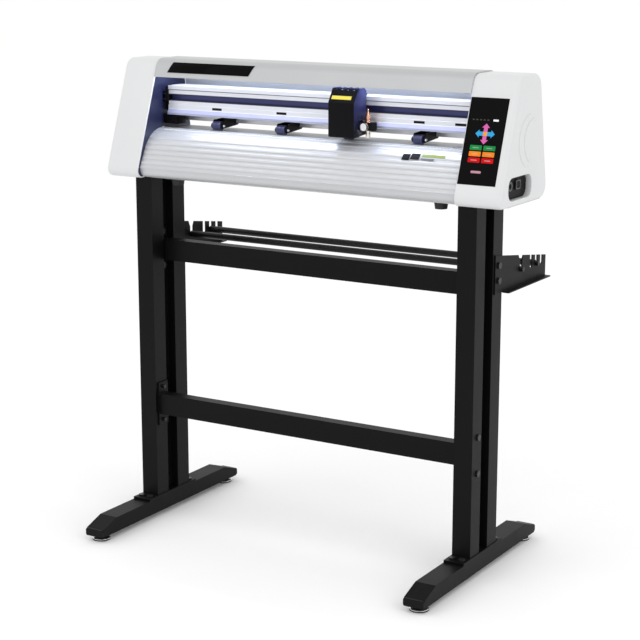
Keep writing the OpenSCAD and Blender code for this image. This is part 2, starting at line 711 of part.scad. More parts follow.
// back plate with a slider that grips the rail, a belt clamp and the tool's guide rod
module carriage_plate() placed() color("#5a5d63") translate([carriage_x, 0, 0]) {
  gx = guide_x - carriage_x;
  box([-plate_half, plate_half], [plate_y, plate_y + 3], [plate_z, rail_z + rail_h + 5]);
  box([-plate_half, plate_half], [plate_y, rail_y + 12], [rail_z + rail_h + 0.4, rail_z + rail_h + 5]);
  box([-plate_half, plate_half], [plate_y + 3, rail_y - 0.4], [rail_z + 52.5, rail_z + rail_h + 0.4]);
  box([-plate_half, plate_half], [plate_y + 3, rail_y - 0.4], [rail_z + 12.5, rail_z + 20]);
  // clamp that reaches into the belt groove
  box([-8, 8], [plate_y + 3, belt_y - gap], [belt_z - 2, belt_z + 5]);
  // lugs and guide rod for the tool; the lower lug hangs on a strip in front of the pinch wheels
  box([gx - 6, gx + 6], [blade_y - 6, plate_y], [carriage_z + 58, carriage_z + 62]);
  box([gx - 6, gx + 6], [strip_back, plate_y], [plate_z, plate_z + 8]);
  box([gx - 6, gx + 6], [strip_back, plate_y - 0.5], [carriage_z + 0.2, plate_z + 1]);
  box([gx - 6, gx + 6], [blade_y - 6, plate_y - 0.5], [carriage_z + 0.2, carriage_z + 4]);
  rod_z(guide_r, carriage_z + 0.2, carriage_z + 62, gx, blade_y);
  // lift solenoid
  rod_z(8, carriage_z + 30, carriage_z + 62, -12, plate_y - 9);
  box([-21, -3], [plate_y - 2, plate_y], [carriage_z + 28, carriage_z + 64]);
}

module carriage_outline(inset) polygon([
  [carriage_front + inset, carriage_z - (inset > 0 ? 1 : 0)],
  [carriage_front + inset, carriage_z + 65],
  [carriage_front + 17 + inset * 0.7, carriage_z + carriage_h - inset],
  [rail_y - 8, carriage_z + carriage_h - inset],
  [rail_y - gap + (inset > 0 ? 2 : 0), carriage_z + 86 - inset],
  [rail_y - gap + (inset > 0 ? 2 : 0), carriage_z - (inset > 0 ? 1 : 0)]
]);

// hood over the carriage, open behind and below, with a slot for the tool arm
module carriage_cover() placed() color("#17171a") translate([carriage_x, 0, 0]) difference() {
  along_x(-carriage_w / 2, carriage_w / 2) carriage_outline(0);
  along_x(-carriage_w / 2 + cover_t, carriage_w / 2 - cover_t) carriage_outline(cover_t);
  box([carriage_w / 2 - cover_t - 1, carriage_w / 2 + 1], [blade_y - 11, rail_y + 1], [carriage_z - 1, arm_z + arm_h + 3]);
  // the sides stop short of the pinch wheels and the rail's lower lip
  box([-carriage_w / 2 - 1, carriage_w / 2 + 1], [rail_y - 11.5, rail_y + 1], [carriage_z - 1, rail_z + 14]);
}

// arm that carries the blade holder and slides on the guide rod
module tool_arm() placed() color("#1a1a1c") difference() {
  union() {
    box([guide_x - 7, blade_x + 11], [blade_y - 8, blade_y + 5.8], [arm_z, arm_z + arm_h]);
    rod_z(8, arm_z, arm_z + arm_h, blade_x, blade_y);
    rod_z(8, arm_z, arm_z + arm_h, blade_x + 11, blade_y);
    rod_z(6, arm_z, arm_z + 30, guide_x, blade_y);
  }
  rod_z(guide_r + fit, arm_z - 1, arm_z + 31, guide_x, blade_y);
  rod_z(holder_r + fit, arm_z - 1, arm_z + arm_h + 1, blade_x, blade_y);
  rod_y(screw_r + fit, blade_y - 10, blade_y, blade_x, arm_z + arm_h / 2);
}

module blade_holder() placed() color("#b9773f") translate([blade_x, blade_y, 0]) difference() {
  rotate_extrude() polygon([
    [0, tip_z + 3], [2, tip_z + 3], [4.5, tip_z + 9], [holder_r, tip_z + 13],
    [holder_r, arm_z + arm_h], [holder_r + 1.8, arm_z + arm_h], [holder_r + 1.8, arm_z + arm_h + 4],
    [holder_r - 0.6, arm_z + arm_h + 5], [holder_r - 0.6, arm_z + arm_h + 11],
    [4, arm_z + arm_h + 15], [4, arm_z + arm_h + 18], [1.6, arm_z + arm_h + 19],
    [1.6, arm_z + arm_h + 26], [0, arm_z + arm_h + 26]
  ]);
  rod_z(blade_r + fit, tip_z, arm_z + arm_h, 0, 0);
}

// drag blade: round shank with an angled edge, off its turning axis
module cutting_blade() placed() color("#cfd3d8") translate([blade_x, blade_y, 0]) {
  rod_z(blade_r, tip_z + 1.5, arm_z + arm_h - 4, 0, 0);
  translate([0, 0, tip_z]) cylinder(r1 = 0.1, r2 = blade_r, h = 1.5);
}

module thumbscrew() placed() color("#c9ccd1") {
  z = arm_z + arm_h / 2;
  rod_y(screw_r, blade_y - 11, blade_y - holder_r - gap, blade_x, z);
  difference() {
    rod_y(7.5, blade_y - 20, blade_y - 10.5, blade_x, z);
    for (a = [0:30:330])
      rod_y(0.9, blade_y - 21, blade_y - 13, blade_x + 7.8 * cos(a), z + 7.8 * sin(a));
  }
}

// ---------- media feed ----------

module grit_shaft() placed() color("#9fa3a8") {
  rod_x(shaft_r, side_l - plate_t - 8, gear_x + gear_t + 3, nip_y, grit_z);
  for (x = grit_all) rod_x(grit_r, x - grit_w / 2, x + grit_w / 2, nip_y, grit_z);
}

module shaft_bearings() placed() color("#c3c6ca")
  for (x = [side_l - plate_t / 2, side_r + plate_t / 2]) difference() {
    union() {
      rod_x(bearing_r, x - plate_t / 2, x + plate_t / 2, nip_y, grit_z);
      s = sign(x);
      outer = x + s * plate_t / 2;
      rod_x(bearing_r + 2, min(outer, outer + s * 2), max(outer, outer + s * 2), nip_y, grit_z);
    }
    rod_x(shaft_r + fit, x - 6, x + 6, nip_y, grit_z);
  }

// straight-flanked gear section of module 1
module gear_section(teeth) {
  r = teeth / 2;
  circle(r - 1.25, $fn = 72);
  for (i = [0:teeth - 1]) rotate(i * 360 / teeth)
    polygon([[r - 1.5, -1], [r, -0.68], [r + 0.9, -0.32], [r + 0.9, 0.32], [r, 0.68], [r - 1.5, 1]]);
}

module feed_gear() placed() color("#e4e2da") along_x(gear_x, gear_x + gear_t)
  translate([nip_y, grit_z]) difference() {
    gear_section(gear_teeth);
    circle(shaft_r);
  }

module feed_pinion() placed() color("#c8a24a") {
  along_x(gear_x - 0.5, gear_x + gear_t + 0.5) translate([pinion_y, grit_z])
    rotate(180 / pinion_teeth) gear_section(pinion_teeth);
  rod_x(2.5, gear_x + gear_t, motor_x + 10, pinion_y, grit_z);
}

motor_x = gear_x + gear_t + 3;

module feed_motor() placed() color("#2c2d30") {
  difference() {
    box([motor_x, motor_x + motor_l], [pinion_y - motor_a / 2, pinion_y + motor_a / 2],
      [grit_z - motor_a / 2, grit_z + motor_a / 2]);
    rod_x(2.5 + fit, motor_x - 1, motor_x + 11, pinion_y, grit_z);
  }
  for (z = [-15.5, 15.5])
    rod_x(3, side_r + plate_t, motor_x, pinion_y + 15.5, grit_z + z);
}

// ---------- pinch wheels and their lift ----------

module bar_x(a, x0, x1, y, z) translate([x0, y - a / 2, z - a / 2]) cube([x1 - x0, a, a]);

crank_x = [side_l + 4, side_l + 10];

module lift_shaft() placed() color("#a8abb0") {
  bar_x(lift_a, crank_x[0], side_r - 6, lift_y, lift_z);
  rod_x(4, side_l - plate_t - 4, crank_x[0], lift_y, lift_z);
  rod_x(4, side_r - 6, side_r + plate_t + 4, lift_y, lift_z);
  box(crank_x, [lift_y + lift_a / 2, lever_y + 3], [lift_z - 2.8, lift_z + 3.2]);
}

// lever with a small lobe over the crank and a flat grip behind the machine
module lift_lever() placed() color("#1b1b1d") {
  difference() {
    union() {
      rod_x(4.5, crank_x[0], crank_x[1], lever_y, lever_z);
      box(crank_x, [lever_y, lever_y + 44], [lever_z - 2.5, lever_z + 2.5]);
    }
    rod_x(lever_pin_r + fit, crank_x[0] - 1, crank_x[1] + 1, lever_y, lever_z);
  }
  box([crank_x[0] - 2, crank_x[1] + 8], [lever_y + 44, lever_y + 70], [lever_z - 3.5, lever_z + 3.5]);
}

// two cheeks, a hub on the square lift shaft and the wheel's axle
module pinch_arm(i) placed() color("#151517") translate([grit_xs[i], 0, 0]) {
  half = pinch_w / 2 + 1;
  difference() {
    union() {
      for (s = [-1, 1]) {
        x = s > 0 ? [half, half + 2.5] : [-half - 2.5, -half];
        along_x(x[0], x[1]) {
          translate([nip_y, pinch_z]) circle(6);
          translate([lift_y, lift_z]) circle(8);
          polygon([
            [nip_y, pinch_z + 6], [nip_y, pinch_z - 6], [lift_y, lift_z - 8], [lift_y, lift_z + 8],
            [nip_y + 12, pinch_z + 12], [nip_y + 4, pinch_z + 12]
          ]);
        }
      }
      rod_x(8, -half - 2.5, half + 2.5, lift_y, lift_z);
      box([-half, half], [nip_y + pinch_r + 3, lift_y], [lift_z - 2, lift_z + 1]);
    }
    bar_x(lift_a + 0.2, -half - 4, half + 4, lift_y, lift_z);
  }
  rod_x(pinch_pin_r, -half - 3.5, half + 3.5, nip_y, pinch_z);
}

module pinch_wheel(i) placed() color("#23242c") translate([grit_xs[i], 0, 0]) difference() {
  union() {
    rod_x(pinch_r - 0.8, -pinch_w / 2, pinch_w / 2, nip_y, pinch_z);
    for (k = [0:4]) {
      x = -pinch_w / 2 + k * pinch_w / 5 + 0.6;
      rod_x(pinch_r, x, x + pinch_w / 5 - 1.2, nip_y, pinch_z);
    }
  }
  rod_x(pinch_pin_r + fit, -pinch_w, pinch_w, nip_y, pinch_z);
}

// ---------- electronics ----------

module touch_screen() placed() color("#0a0a0b") on_front() {
  box([screen_x, screen_x + screen_w], [0, cover_wall], [screen_up, screen_up + screen_h]);
  box([screen_x + 6, screen_x + screen_w - 8], [cover_wall, cover_wall + 6], [screen_up + 12, screen_up + screen_h - 12]);
}

module mainboard() placed() color("#1f6b3a") {
  box([side_r + 6, side_r + 78], [20, 148], [board_z, board_z + 1.6]);
  box([side_r + 20, side_r + 36], [60, 76], [board_z + 1.6, board_z + 4]);
  for (y = [96, 110, 124]) rod_z(4, board_z + 1.6, board_z + 14, side_r + 60, y);
  box([side_r + 12, side_r + 40], [104, 128], [board_z + 1.6, board_z + 12]);
}

module power_supply() placed() color("#aeb1b5") {
  box([-body_w / 2 + 14, side_l - 24], [30, 140], [base_z + plate_t, base_z + plate_t + 36]);
}

// black panel at the bottom of the side recess: one round power socket and the switch's bezel
module io_panel() placed() color("#111112") {
  x1 = body_w / 2 - io_depth;
  x0 = x1 - io_panel_t;
  difference() {
    union() {
      along_x(x0, x1) intersection() { io_outline(2); body_outline(cover_wall + gap); }
      rod_x(7, x0 - 8, x1 + 3, jack_y, io_mid_z);
      rod_x(11, x0 - 6, x1 + 2, switch_y, io_mid_z);
    }
    rod_x(jack_r, x0 - 6, x1 + 4, jack_y, io_mid_z);
    box([x0 - 4, x1 + 3], [switch_y - rocker_w / 2 - 1, switch_y + rocker_w / 2 + 1],
      [io_mid_z - rocker_h / 2 - 0.4, io_mid_z + rocker_h / 2 + 0.4]);
    // bearings of the rocker's pivot pin
    rod_z(rocker_pin_r + fit, io_mid_z - rocker_h / 2 - 1.6, io_mid_z + rocker_h / 2 + 1.6, x1, switch_y);
  }
}

// rocker that tips about an upright pin
module power_switch() placed() color("#1d1d1f") {
  x1 = body_w / 2 - io_depth;
  rod_z(rocker_pin_r, io_mid_z - rocker_h / 2 - 1.4, io_mid_z + rocker_h / 2 + 1.4, x1, switch_y);
  translate([0, 0, io_mid_z - rocker_h / 2]) linear_extrude(rocker_h) polygon([
    [x1 - 5, switch_y - 4], [x1 + 2.2, switch_y - rocker_w / 2], [x1 + 4, switch_y - rocker_w / 2],
    [x1 + 2.6, switch_y], [x1 + 2.6, switch_y + rocker_w / 2], [x1 + 0.6, switch_y + rocker_w / 2],
    [x1 - 5, switch_y + 4]
  ]);
}

foot(-1);  // left_foot
foot(1);  // right_foot
foot_end_caps();
leveling_foot(-1, 0);  // leveling_foot_front_left
leveling_foot(1, 0);  // leveling_foot_front_right
leveling_foot(-1, 1);  // leveling_foot_rear_left
leveling_foot(1, 1);  // leveling_foot_rear_right
leg(-1);  // left_leg
leg(1);  // right_leg
stand_bolts();
upper_beam();
lower_beam();
roll_bracket(-1);  // left_roll_bracket
roll_bracket(1);  // right_roll_bracket
roll_rod(rod_ys[0]);  // front_roll_rod
roll_rod(rod_ys[1]);  // rear_roll_rod
base_plate();
rubber_feet();
left_side_plate();
right_side_plate();
left_end_cover();
right_end_cover();
top_cover();
rear_cover();
front_platen();
rear_platen();
cutting_strip();
carriage_rail();
rail_mounts();
drive_belt();
belt_pulley();
idler_pulley();
carriage_motor();
carriage_plate();
carriage_cover();
tool_arm();
blade_holder();
cutting_blade();
thumbscrew();
grit_shaft();
shaft_bearings();
feed_gear();
feed_pinion();
feed_motor();
lift_shaft();
lift_lever();
pinch_arm(0);  // pinch_arm_1
pinch_arm(1);  // pinch_arm_2
pinch_arm(2);  // pinch_arm_3
pinch_arm(3);  // pinch_arm_4
pinch_wheel(0);  // pinch_wheel_1
pinch_wheel(1);  // pinch_wheel_2
pinch_wheel(2);  // pinch_wheel_3
pinch_wheel(3);  // pinch_wheel_4
touch_screen();
mainboard();
power_supply();
io_panel();
power_switch();
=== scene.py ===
"""Finished surfaces for a floor-standing vinyl cutter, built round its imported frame."""

import json
import math

import bmesh
import bpy
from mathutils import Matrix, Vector


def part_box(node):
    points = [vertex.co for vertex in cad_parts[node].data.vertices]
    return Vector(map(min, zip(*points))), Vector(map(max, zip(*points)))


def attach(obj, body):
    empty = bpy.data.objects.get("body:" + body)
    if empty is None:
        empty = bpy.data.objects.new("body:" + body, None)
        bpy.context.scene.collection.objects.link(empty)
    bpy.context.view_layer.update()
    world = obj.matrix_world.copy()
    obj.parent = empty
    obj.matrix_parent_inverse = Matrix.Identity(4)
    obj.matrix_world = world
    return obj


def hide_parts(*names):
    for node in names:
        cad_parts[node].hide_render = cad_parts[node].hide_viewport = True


bl_info = {
    "name": "Vinyl Cutter Looks",
    "version": (1, 0, 0),
    "blender": (4, 5, 0),
    "location": "3D View > Sidebar > Vinyl Cutter",
    "description": "Builds covers, carriage hood, screen, lights and finishes of a vinyl cutter",
    "category": "Object",
}

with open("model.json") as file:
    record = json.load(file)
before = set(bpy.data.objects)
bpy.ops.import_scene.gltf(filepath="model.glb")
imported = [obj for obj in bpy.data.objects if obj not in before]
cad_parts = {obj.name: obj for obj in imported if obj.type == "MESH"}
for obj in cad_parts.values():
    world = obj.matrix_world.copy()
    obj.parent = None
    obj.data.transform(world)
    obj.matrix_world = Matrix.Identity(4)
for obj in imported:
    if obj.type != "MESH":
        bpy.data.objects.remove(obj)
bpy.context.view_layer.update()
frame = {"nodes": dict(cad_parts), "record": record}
NODES = frame["nodes"]
SLOT_OF = {row["node"]: row["material_slot"] for row in frame["record"]["subparts"]}

MM = 0.001
RIGHT_LOW, RIGHT_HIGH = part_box("right_end_cover")
LEFT_LOW, LEFT_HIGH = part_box("left_end_cover")
BODY_BOTTOM, BODY_TOP = RIGHT_LOW.z, RIGHT_HIGH.z
OPENING_LEFT, OPENING_RIGHT = LEFT_HIGH.x, RIGHT_LOW.x
FRONT_LEAN = math.radians(19.6)
REAR_LEAN = math.radians(9.8)
# front bottom, front top, rear top and rear bottom corners of the body's outline
CORNERS = (16 * MM, 24 * MM, 26 * MM, 26 * MM)
# y and z of the centre, and radius, of the two curves of the platen's front
PLATEN_TOP_ARC = (7 * MM, 780 * MM, 70 * MM)
PLATEN_FOOT_ARC = (-54 * MM, 770.3 * MM, 20 * MM)
# y and z of the power inlet's centre
INLET = (-27 * MM, 788 * MM)
# middles of the rail's position marks, and how far the rail's lip stands in front of its face
MARK_PLACES = (-238 * MM, -79 * MM, 79 * MM, 238 * MM, 328 * MM)
LIP_STEP = 4 * MM


def foot_of_slope(edge, radius, lean, side):
    """Where a sloped face would meet the floor of the body if its corner were sharp."""
    return edge + side * (radius / math.cos(lean) + radius * math.tan(lean) - radius)


FRONT_FOOT = foot_of_slope(RIGHT_LOW.y, CORNERS[0], FRONT_LEAN, -1)
REAR_FOOT = foot_of_slope(RIGHT_HIGH.y, CORNERS[3], REAR_LEAN, 1)


# ---------- sizes and colours a user may change ----------


def size(label, help_text, default, low=0.0, high=1.0):
    """A length in metres."""
    return bpy.props.FloatProperty(
        name=label, description=help_text, default=default, min=low, max=high,
        precision=4, unit="LENGTH",
    )


def tint(label, help_text, default):
    """A linear colour."""
    return bpy.props.FloatVectorProperty(
        name=label, description=help_text, default=default, size=3, min=0.0, max=1.0,
        subtype="COLOR",
    )


class CutterShape(bpy.types.PropertyGroup):
    """Sizes of the pieces that are added to the frame."""

    cover_round: size("Cover rounding", "Rounding round an end cover's side", 8 * MM)
    cover_lip: size("Cover lip", "Rounding of an end cover's edge at the opening", 2.2 * MM)
    cover_wall: size("Cover wall", "Wall of an end cover", 3 * MM)
    relief_width: size("Relief width", "Width of the raised arcs on the covers", 5.0 * MM)
    relief_height: size("Relief height", "Height of the raised arcs", 1.5 * MM)
    hood_wall: size("Hood wall", "Wall of the carriage hood", 2 * MM)
    hood_round: size("Hood rounding", "Rounding of the hood's edges", 2 * MM)
    flute_radius: size("Flute radius", "Radius of the flutes over the hood's top", 5.6 * MM)
    flute_count: bpy.props.IntProperty(
        name="Flutes", description="Flutes across the hood's top", default=4, min=2, max=8
    )
    badge_length: size("Badge length", "Length of the plain badge on the top bar", 203 * MM)
    badge_rise: size("Badge height", "Height of the plain badge", 21 * MM)
    lamp_pitch: size("Lamp pitch", "Distance between the lamps of the light strip", 16.6 * MM)
    mark_width: size("Mark width", "Width of a position mark on the rail", 24 * MM)
    mark_height: size("Mark height", "Height of a position mark on the rail", 5 * MM)
    slit_pitch: size("Slit pitch", "Distance between the slits along the cutting line", 7.4 * MM)
    rib_pitch: size("Rib pitch", "Height from one rib of the platen to the next", 10 * MM)
    rib_width: size("Rib width", "Width of a rib of the platen", 8.4 * MM)
    rib_rise: size("Rib rise", "How far a rib stands out of the platen", 1.5 * MM)
    rib_count: bpy.props.IntProperty(
        name="Ribs", description="Ribs down the platen's front", default=8, min=1, max=12
    )
    edge_round: size("Edge rounding", "Rounding of the stand's steel edges", 0.9 * MM)


class CutterColours(bpy.types.PropertyGroup):
    """Colours of the cutter's surfaces."""

    cover: tint("Covers", "End covers", (0.655, 0.66, 0.665))
    top: tint("Top bar", "Top bar and rear cover", (0.45, 0.455, 0.46))
    platen: tint("Platen", "Ribbed platen", (0.53, 0.535, 0.55))
    rail: tint("Rail", "Carriage rail", (0.70, 0.71, 0.75))
    # painted shade in the rail's belt groove, tinted blue by the strip light
    groove: tint("Rail groove", "Shaded groove of the carriage rail", (0.045, 0.05, 0.17))
    coat: tint("Powder coat", "Black coat of the stand", (0.0034, 0.0034, 0.0037))
    hood: tint("Hood", "Gloss black of the carriage hood", (0.003, 0.003, 0.004))
    # painted blue reflection on the hood's sides and top, not a colour of the hood itself
    hood_side_reflection: tint("Hood sides", "Blue-black of the hood's sides and top", (0.030, 0.033, 0.098))
    # dark grey paint with the blue of the strip light painted into it
    inner: tint("Inner plates", "Dark blue-grey plates beside the opening", (0.020, 0.023, 0.060))
    copper: tint("Blade holder", "Copper-toned turned metal", (0.78, 0.42, 0.28))
    glow: tint("Light strip", "Colour of the light strip", (0.72, 0.80, 1.0))


class CutterStudio(bpy.types.PropertyGroup):
    """Floor, lights and camera."""

    floor: tint("Floor", "Colour of the plain floor", (0.975, 0.975, 0.975))
    sky: bpy.props.FloatProperty(
        name="Surround", description="Strength of the even light all round", default=1.03, min=0
    )
    key: bpy.props.FloatProperty(
        name="Key light", description="Power of the large light above the front", default=16.0,
        min=0, unit="POWER",
    )
    fill: bpy.props.FloatProperty(
        name="Fill light", description="Power of the light at the right", default=9.0,
        min=0, unit="POWER",
    )
    strip: bpy.props.FloatProperty(
        name="Strip light", description="Power of the light strip in the opening", default=1.25,
        min=0, unit="POWER",
    )
    lens: bpy.props.FloatProperty(
        name="Lens", description="Focal length of the camera", default=97.0, min=20, max=300,
        unit="CAMERA",
    )
    heading: bpy.props.FloatProperty(
        name="Heading", description="Turn of the camera about the upright axis",
        default=math.radians(31.03), subtype="ANGLE",
    )
    tilt: bpy.props.FloatProperty(
        name="Tilt", description="How far the camera looks down",
        default=math.radians(12.73), subtype="ANGLE",
    )
    place: bpy.props.FloatVectorProperty(
        name="Camera place", description="Where the camera stands", default=(1.803, -2.967, 1.258),
        size=3, subtype="TRANSLATION", unit="LENGTH",
    )


def shape():
    """The current sizes."""
    return bpy.context.scene.cutter_shape


def colours():
    """The current colours."""
    return bpy.context.scene.cutter_colours


# ---------- outlines and surfaces of the body ----------


def front_line(z):
    """Y of the sloped front at height z."""
    return FRONT_FOOT + (z - BODY_BOTTOM) * math.tan(FRONT_LEAN)


def rear_line(z):
    """Y of the sloped back at height z."""
    return REAR_FOOT - (z - BODY_BOTTOM) * math.tan(REAR_LEAN)


def corner_centres():
    """Centres of the four round corners in the YZ plane, in the order of CORNERS."""
    r = CORNERS
    levels = (BODY_BOTTOM + r[0], BODY_TOP - r[1], BODY_TOP - r[2], BODY_BOTTOM + r[3])
    return (
        (front_line(levels[0]) + r[0] / math.cos(FRONT_LEAN), levels[0]),
        (front_line(levels[1]) + r[1] / math.cos(FRONT_LEAN), levels[1]),
        (rear_line(levels[2]) - r[2] / math.cos(REAR_LEAN), levels[2]),
        (rear_line(levels[3]) - r[3] / math.cos(REAR_LEAN), levels[3]),
    )


def body_outline(inset, steps=8):
    """Closed outline of the body in (y, z), drawn in by inset, always with the same points."""
    front, rear = math.pi + FRONT_LEAN, 2 * math.pi - REAR_LEAN
    turns = (math.pi / 2, front, 1.5 * math.pi, rear, 2.5 * math.pi)
    points = []
    for (y, z), radius, first, last in zip(corner_centres(), CORNERS, turns, turns[1:]):
        for k in range(steps + 1):
            a = -(first + (last - first) * k / steps)
            points.append((y + (radius - inset) * math.cos(a), z + (radius - inset) * math.sin(a)))
    return points


def slope_point(x, up, out=0.0):
    """A point on the sloped front: up along the slope from the body's floor, out from its face."""
    c, s = math.cos(FRONT_LEAN), math.sin(FRONT_LEAN)
    return Vector((x, FRONT_FOOT + up * s - out * c, BODY_BOTTOM + up * c + out * s))


def slope_span(node):
    """Lowest and highest place of a CAD node along the front's slope, and how far it stands out."""
    c, s = math.cos(FRONT_LEAN), math.sin(FRONT_LEAN)
    spots = [v.co for v in NODES[node].data.vertices]
    ups = [(p.y - FRONT_FOOT) * s + (p.z - BODY_BOTTOM) * c for p in spots]
    outs = [(p.z - BODY_BOTTOM) * s - (p.y - FRONT_FOOT) * c for p in spots]
    return min(ups), max(ups), max(outs)


def platen_spot(z):
    """The point of the platen's front at height z, and the way its face looks there."""
    y0, z0, r0 = PLATEN_TOP_ARC
    y1, z1, r1 = PLATEN_FOOT_ARC
    away, across = math.atan2(z1 - z0, y1 - y0), math.hypot(z1 - z0, y1 - y0)
    flat = away - math.acos((r0 - r1) / across) + 2 * math.pi
    if z > z0 + r0 * math.sin(flat):
        turn = math.pi - math.asin((z - z0) / r0)
        return (y0 + r0 * math.cos(turn), z), turn
    if z > z1 + r1 * math.sin(flat):
        y = y1 + (r1 - (z - z1) * math.sin(flat)) / math.cos(flat)
        return (y, z), flat
    turn = math.pi - math.asin((z - z1) / r1)
    return (y1 + r1 * math.cos(turn), z), turn


def top_bar_front(z, out):
    """Y of the top bar's front surface at height z, moved out from it."""
    y0, z0 = corner_centres()[1]
    reach = CORNERS[1] + 2 * MM + out
    if z < z0 + reach * math.sin(FRONT_LEAN):
        return y0 - (reach - (z - z0) * math.sin(FRONT_LEAN)) / math.cos(FRONT_LEAN)
    return y0 - math.sqrt(max(reach**2 - (z - z0) ** 2, 0.0))


# ---------- mesh tools ----------


def solid(name, rings, looped=False):
    """A new object whose surface runs through rings of points, capped at both ends or looped."""
    bm = bmesh.new()
    layers = [[bm.verts.new(p) for p in ring] for ring in rings]
    following = layers[1:] + layers[:1] if looped else layers[1:]
    for a, b in zip(layers, following):
        for i in range(len(a)):
            j = (i + 1) % len(a)
            bm.faces.new((a[i], a[j], b[j], b[i]))
    if not looped:
        bm.faces.new(layers[0][::-1])
        bm.faces.new(layers[-1])
    bmesh.ops.recalc_face_normals(bm, faces=bm.faces)
    return object_from(name, bm)


def slab(name, under, over):
    """A thin curved plate between two sheets, each made of rows of a left and a right point."""
    bm = bmesh.new()
    sheets = [[[bm.verts.new(p) for p in row] for row in sheet] for sheet in (under, over)]
    below, above = sheets
    last = len(below) - 1
    for k in range(last):
        for sheet in sheets:
            bm.faces.new((sheet[k][0], sheet[k][1], sheet[k + 1][1], sheet[k + 1][0]))
        for side in (0, 1):
            bm.faces.new((below[k][side], below[k + 1][side], above[k + 1][side], above[k][side]))
    for k in (0, last):
        bm.faces.new((below[k][0], below[k][1], above[k][1], above[k][0]))
    bmesh.ops.recalc_face_normals(bm, faces=bm.faces)
    return object_from(name, bm)


def object_from(name, bm):
    """Puts a finished bmesh into a new object in the scene."""
    mesh = bpy.data.meshes.new(name)
    bm.to_mesh(mesh)
    bm.free()
    obj = bpy.data.objects.new(name, mesh)
    bpy.context.scene.collection.objects.link(obj)
    return obj


def along_x(name, outline, x0, x1):
    """Prism of a (y, z) outline between x0 and x1."""
    return solid(name, [[(x, y, z) for y, z in outline] for x in (x0, x1)])


def block(name, low, high):
    """Rectangular solid between two corners."""
    corners = ((low[1], low[2]), (high[1], low[2]), (high[1], high[2]), (low[1], high[2]))
    return along_x(name, corners, low[0], high[0])


def round_rectangle(a0, a1, b0, b1, radius, steps):
    """Outline of a rectangle between its sides, its round corners drawn in steps."""
    corners = (
        (a1 - radius, b1 - radius), (a0 + radius, b1 - radius),
        (a0 + radius, b0 + radius), (a1 - radius, b0 + radius),
    )
    outline = []
    for quarter, (a, b) in enumerate(corners):
        for k in range(steps + 1):
            turn = math.pi / 2 * (quarter + k / steps)
            outline.append((a + radius * math.cos(turn), b + radius * math.sin(turn)))
    return outline


def slope_plate(name, outline, out, thickness, bulge):
    """Thin plate on the sloped front from an (x, up) outline, its top edge drawn in by bulge."""
    middle = Vector((sum(p[0] for p in outline), sum(p[1] for p in outline))) / len(outline)
    rings = [[slope_point(x, u, out) for x, u in outline]]
    for rise, inset in ((0.7, 0.0), (1.0, bulge)):
        ring = []
        for x, u in outline:
            pull = (middle - Vector((x, u))).normalized() * inset
            ring.append(slope_point(x + pull.x, u + pull.y, out + thickness * rise))
        rings.append(ring)
    return solid(name, rings)


def settle(obj):
    """Applies an object's modifiers to its mesh."""
    bpy.context.view_layer.update()
    graph = bpy.context.evaluated_depsgraph_get()
    mesh = bpy.data.meshes.new_from_object(obj.evaluated_get(graph))
    mesh.name = obj.name
    obj.modifiers.clear()
    obj.data = mesh
    return obj


def combine(obj, tools, operation="DIFFERENCE"):
    """Cuts tools from obj, or joins them to it, and removes the tools."""
    for tool in tools:
        step = obj.modifiers.new("combine", "BOOLEAN")
        step.operation = operation
        step.solver = "EXACT"
        step.object = tool
        settle(obj)
        bpy.data.objects.remove(tool)
    return obj


def soften(obj, width, segments=2, degrees=32.0):
    """Rounds an object's sharp edges."""
    step = obj.modifiers.new("soften", "BEVEL")
    step.width = width
    step.segments = segments
    step.limit_method = "ANGLE"
    step.angle_limit = math.radians(degrees)
    step.miter_outer = "MITER_ARC"
    step.use_clamp_overlap = True
    return obj


def rounded(obj, width, segments=2, degrees=40.0):
    """Rounds an object's sharp edges for good."""
    return settle(soften(obj, width, segments, degrees))


def smooth(obj, degrees=32.0):
    """Shades an object smooth across edges flatter than an angle."""
    obj.data.polygons.foreach_set("use_smooth", [True] * len(obj.data.polygons))
    obj.data.set_sharp_from_angle(angle=math.radians(degrees))
    return obj


def join(name, parts):
    """Joins several objects into one mesh, without moving anything."""
    bm = bmesh.new()
    for part in parts:
        bm.from_mesh(part.data)
        bpy.data.objects.remove(part)
    return object_from(name, bm)


def fit(obj, material, body="frame", replaces=(), degrees=32.0):
    """Finishes a piece: smooth shading, material, body and the nodes it stands for."""
    smooth(obj, degrees)
    obj.data.materials.clear()
    obj.data.materials.append(material)
    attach(obj, body)
    if replaces:
        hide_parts(*replaces)
    return obj


def disc_points(x, y, z, radius, normal, count=20):
    """Points of a circle about a centre, facing along X, Y or Z."""
    spots = []
    for k in range(count):
        a = 2 * math.pi * k / count
        u, v = radius * math.cos(a), radius * math.sin(a)
        offset = {"X": (0, u, v), "Y": (u, 0, v), "Z": (u, v, 0)}[normal]
        spots.append((x + offset[0], y + offset[1], z + offset[2]))
    return spots


def turned_rings(centre, axis, profile, count):
    """Circles for (distance along axis, radius) pairs about a line through centre."""
    way = Vector([float(axis == name) for name in "XYZ"])
    return [
        disc_points(*(Vector(centre) + way * along), radius, axis, count)
        for along, radius in profile
    ]


def turned(name, centre, axis, profile, count=32):
    """A turned part, closed at both ends of its profile."""
    return solid(name, turned_rings(centre, axis, profile, count))


def hoop(name, centre, axis, profile, count=32):
    """A turned ring, whose profile is a closed outline."""
    return solid(name, turned_rings(centre, axis, profile, count), looped=True)


# ---------- shader groups ----------


def new_group(name, inputs, outputs):
    """An empty shader group with named sockets, and its two ends."""
    group = bpy.data.node_groups.new(name, "ShaderNodeTree")
    for label, kind, default in inputs:
        socket = group.interface.new_socket(name=label, in_out="INPUT", socket_type=kind)
        if default is not None:
            socket.default_value = default
    for label, kind in outputs:
        group.interface.new_socket(name=label, in_out="OUTPUT", socket_type=kind)
    start = group.nodes.new("NodeGroupInput")
    end = group.nodes.new("NodeGroupOutput")
    return group, start, end


FLOAT, COLOUR, VECTOR = "NodeSocketFloat", "NodeSocketColor", "NodeSocketVector"


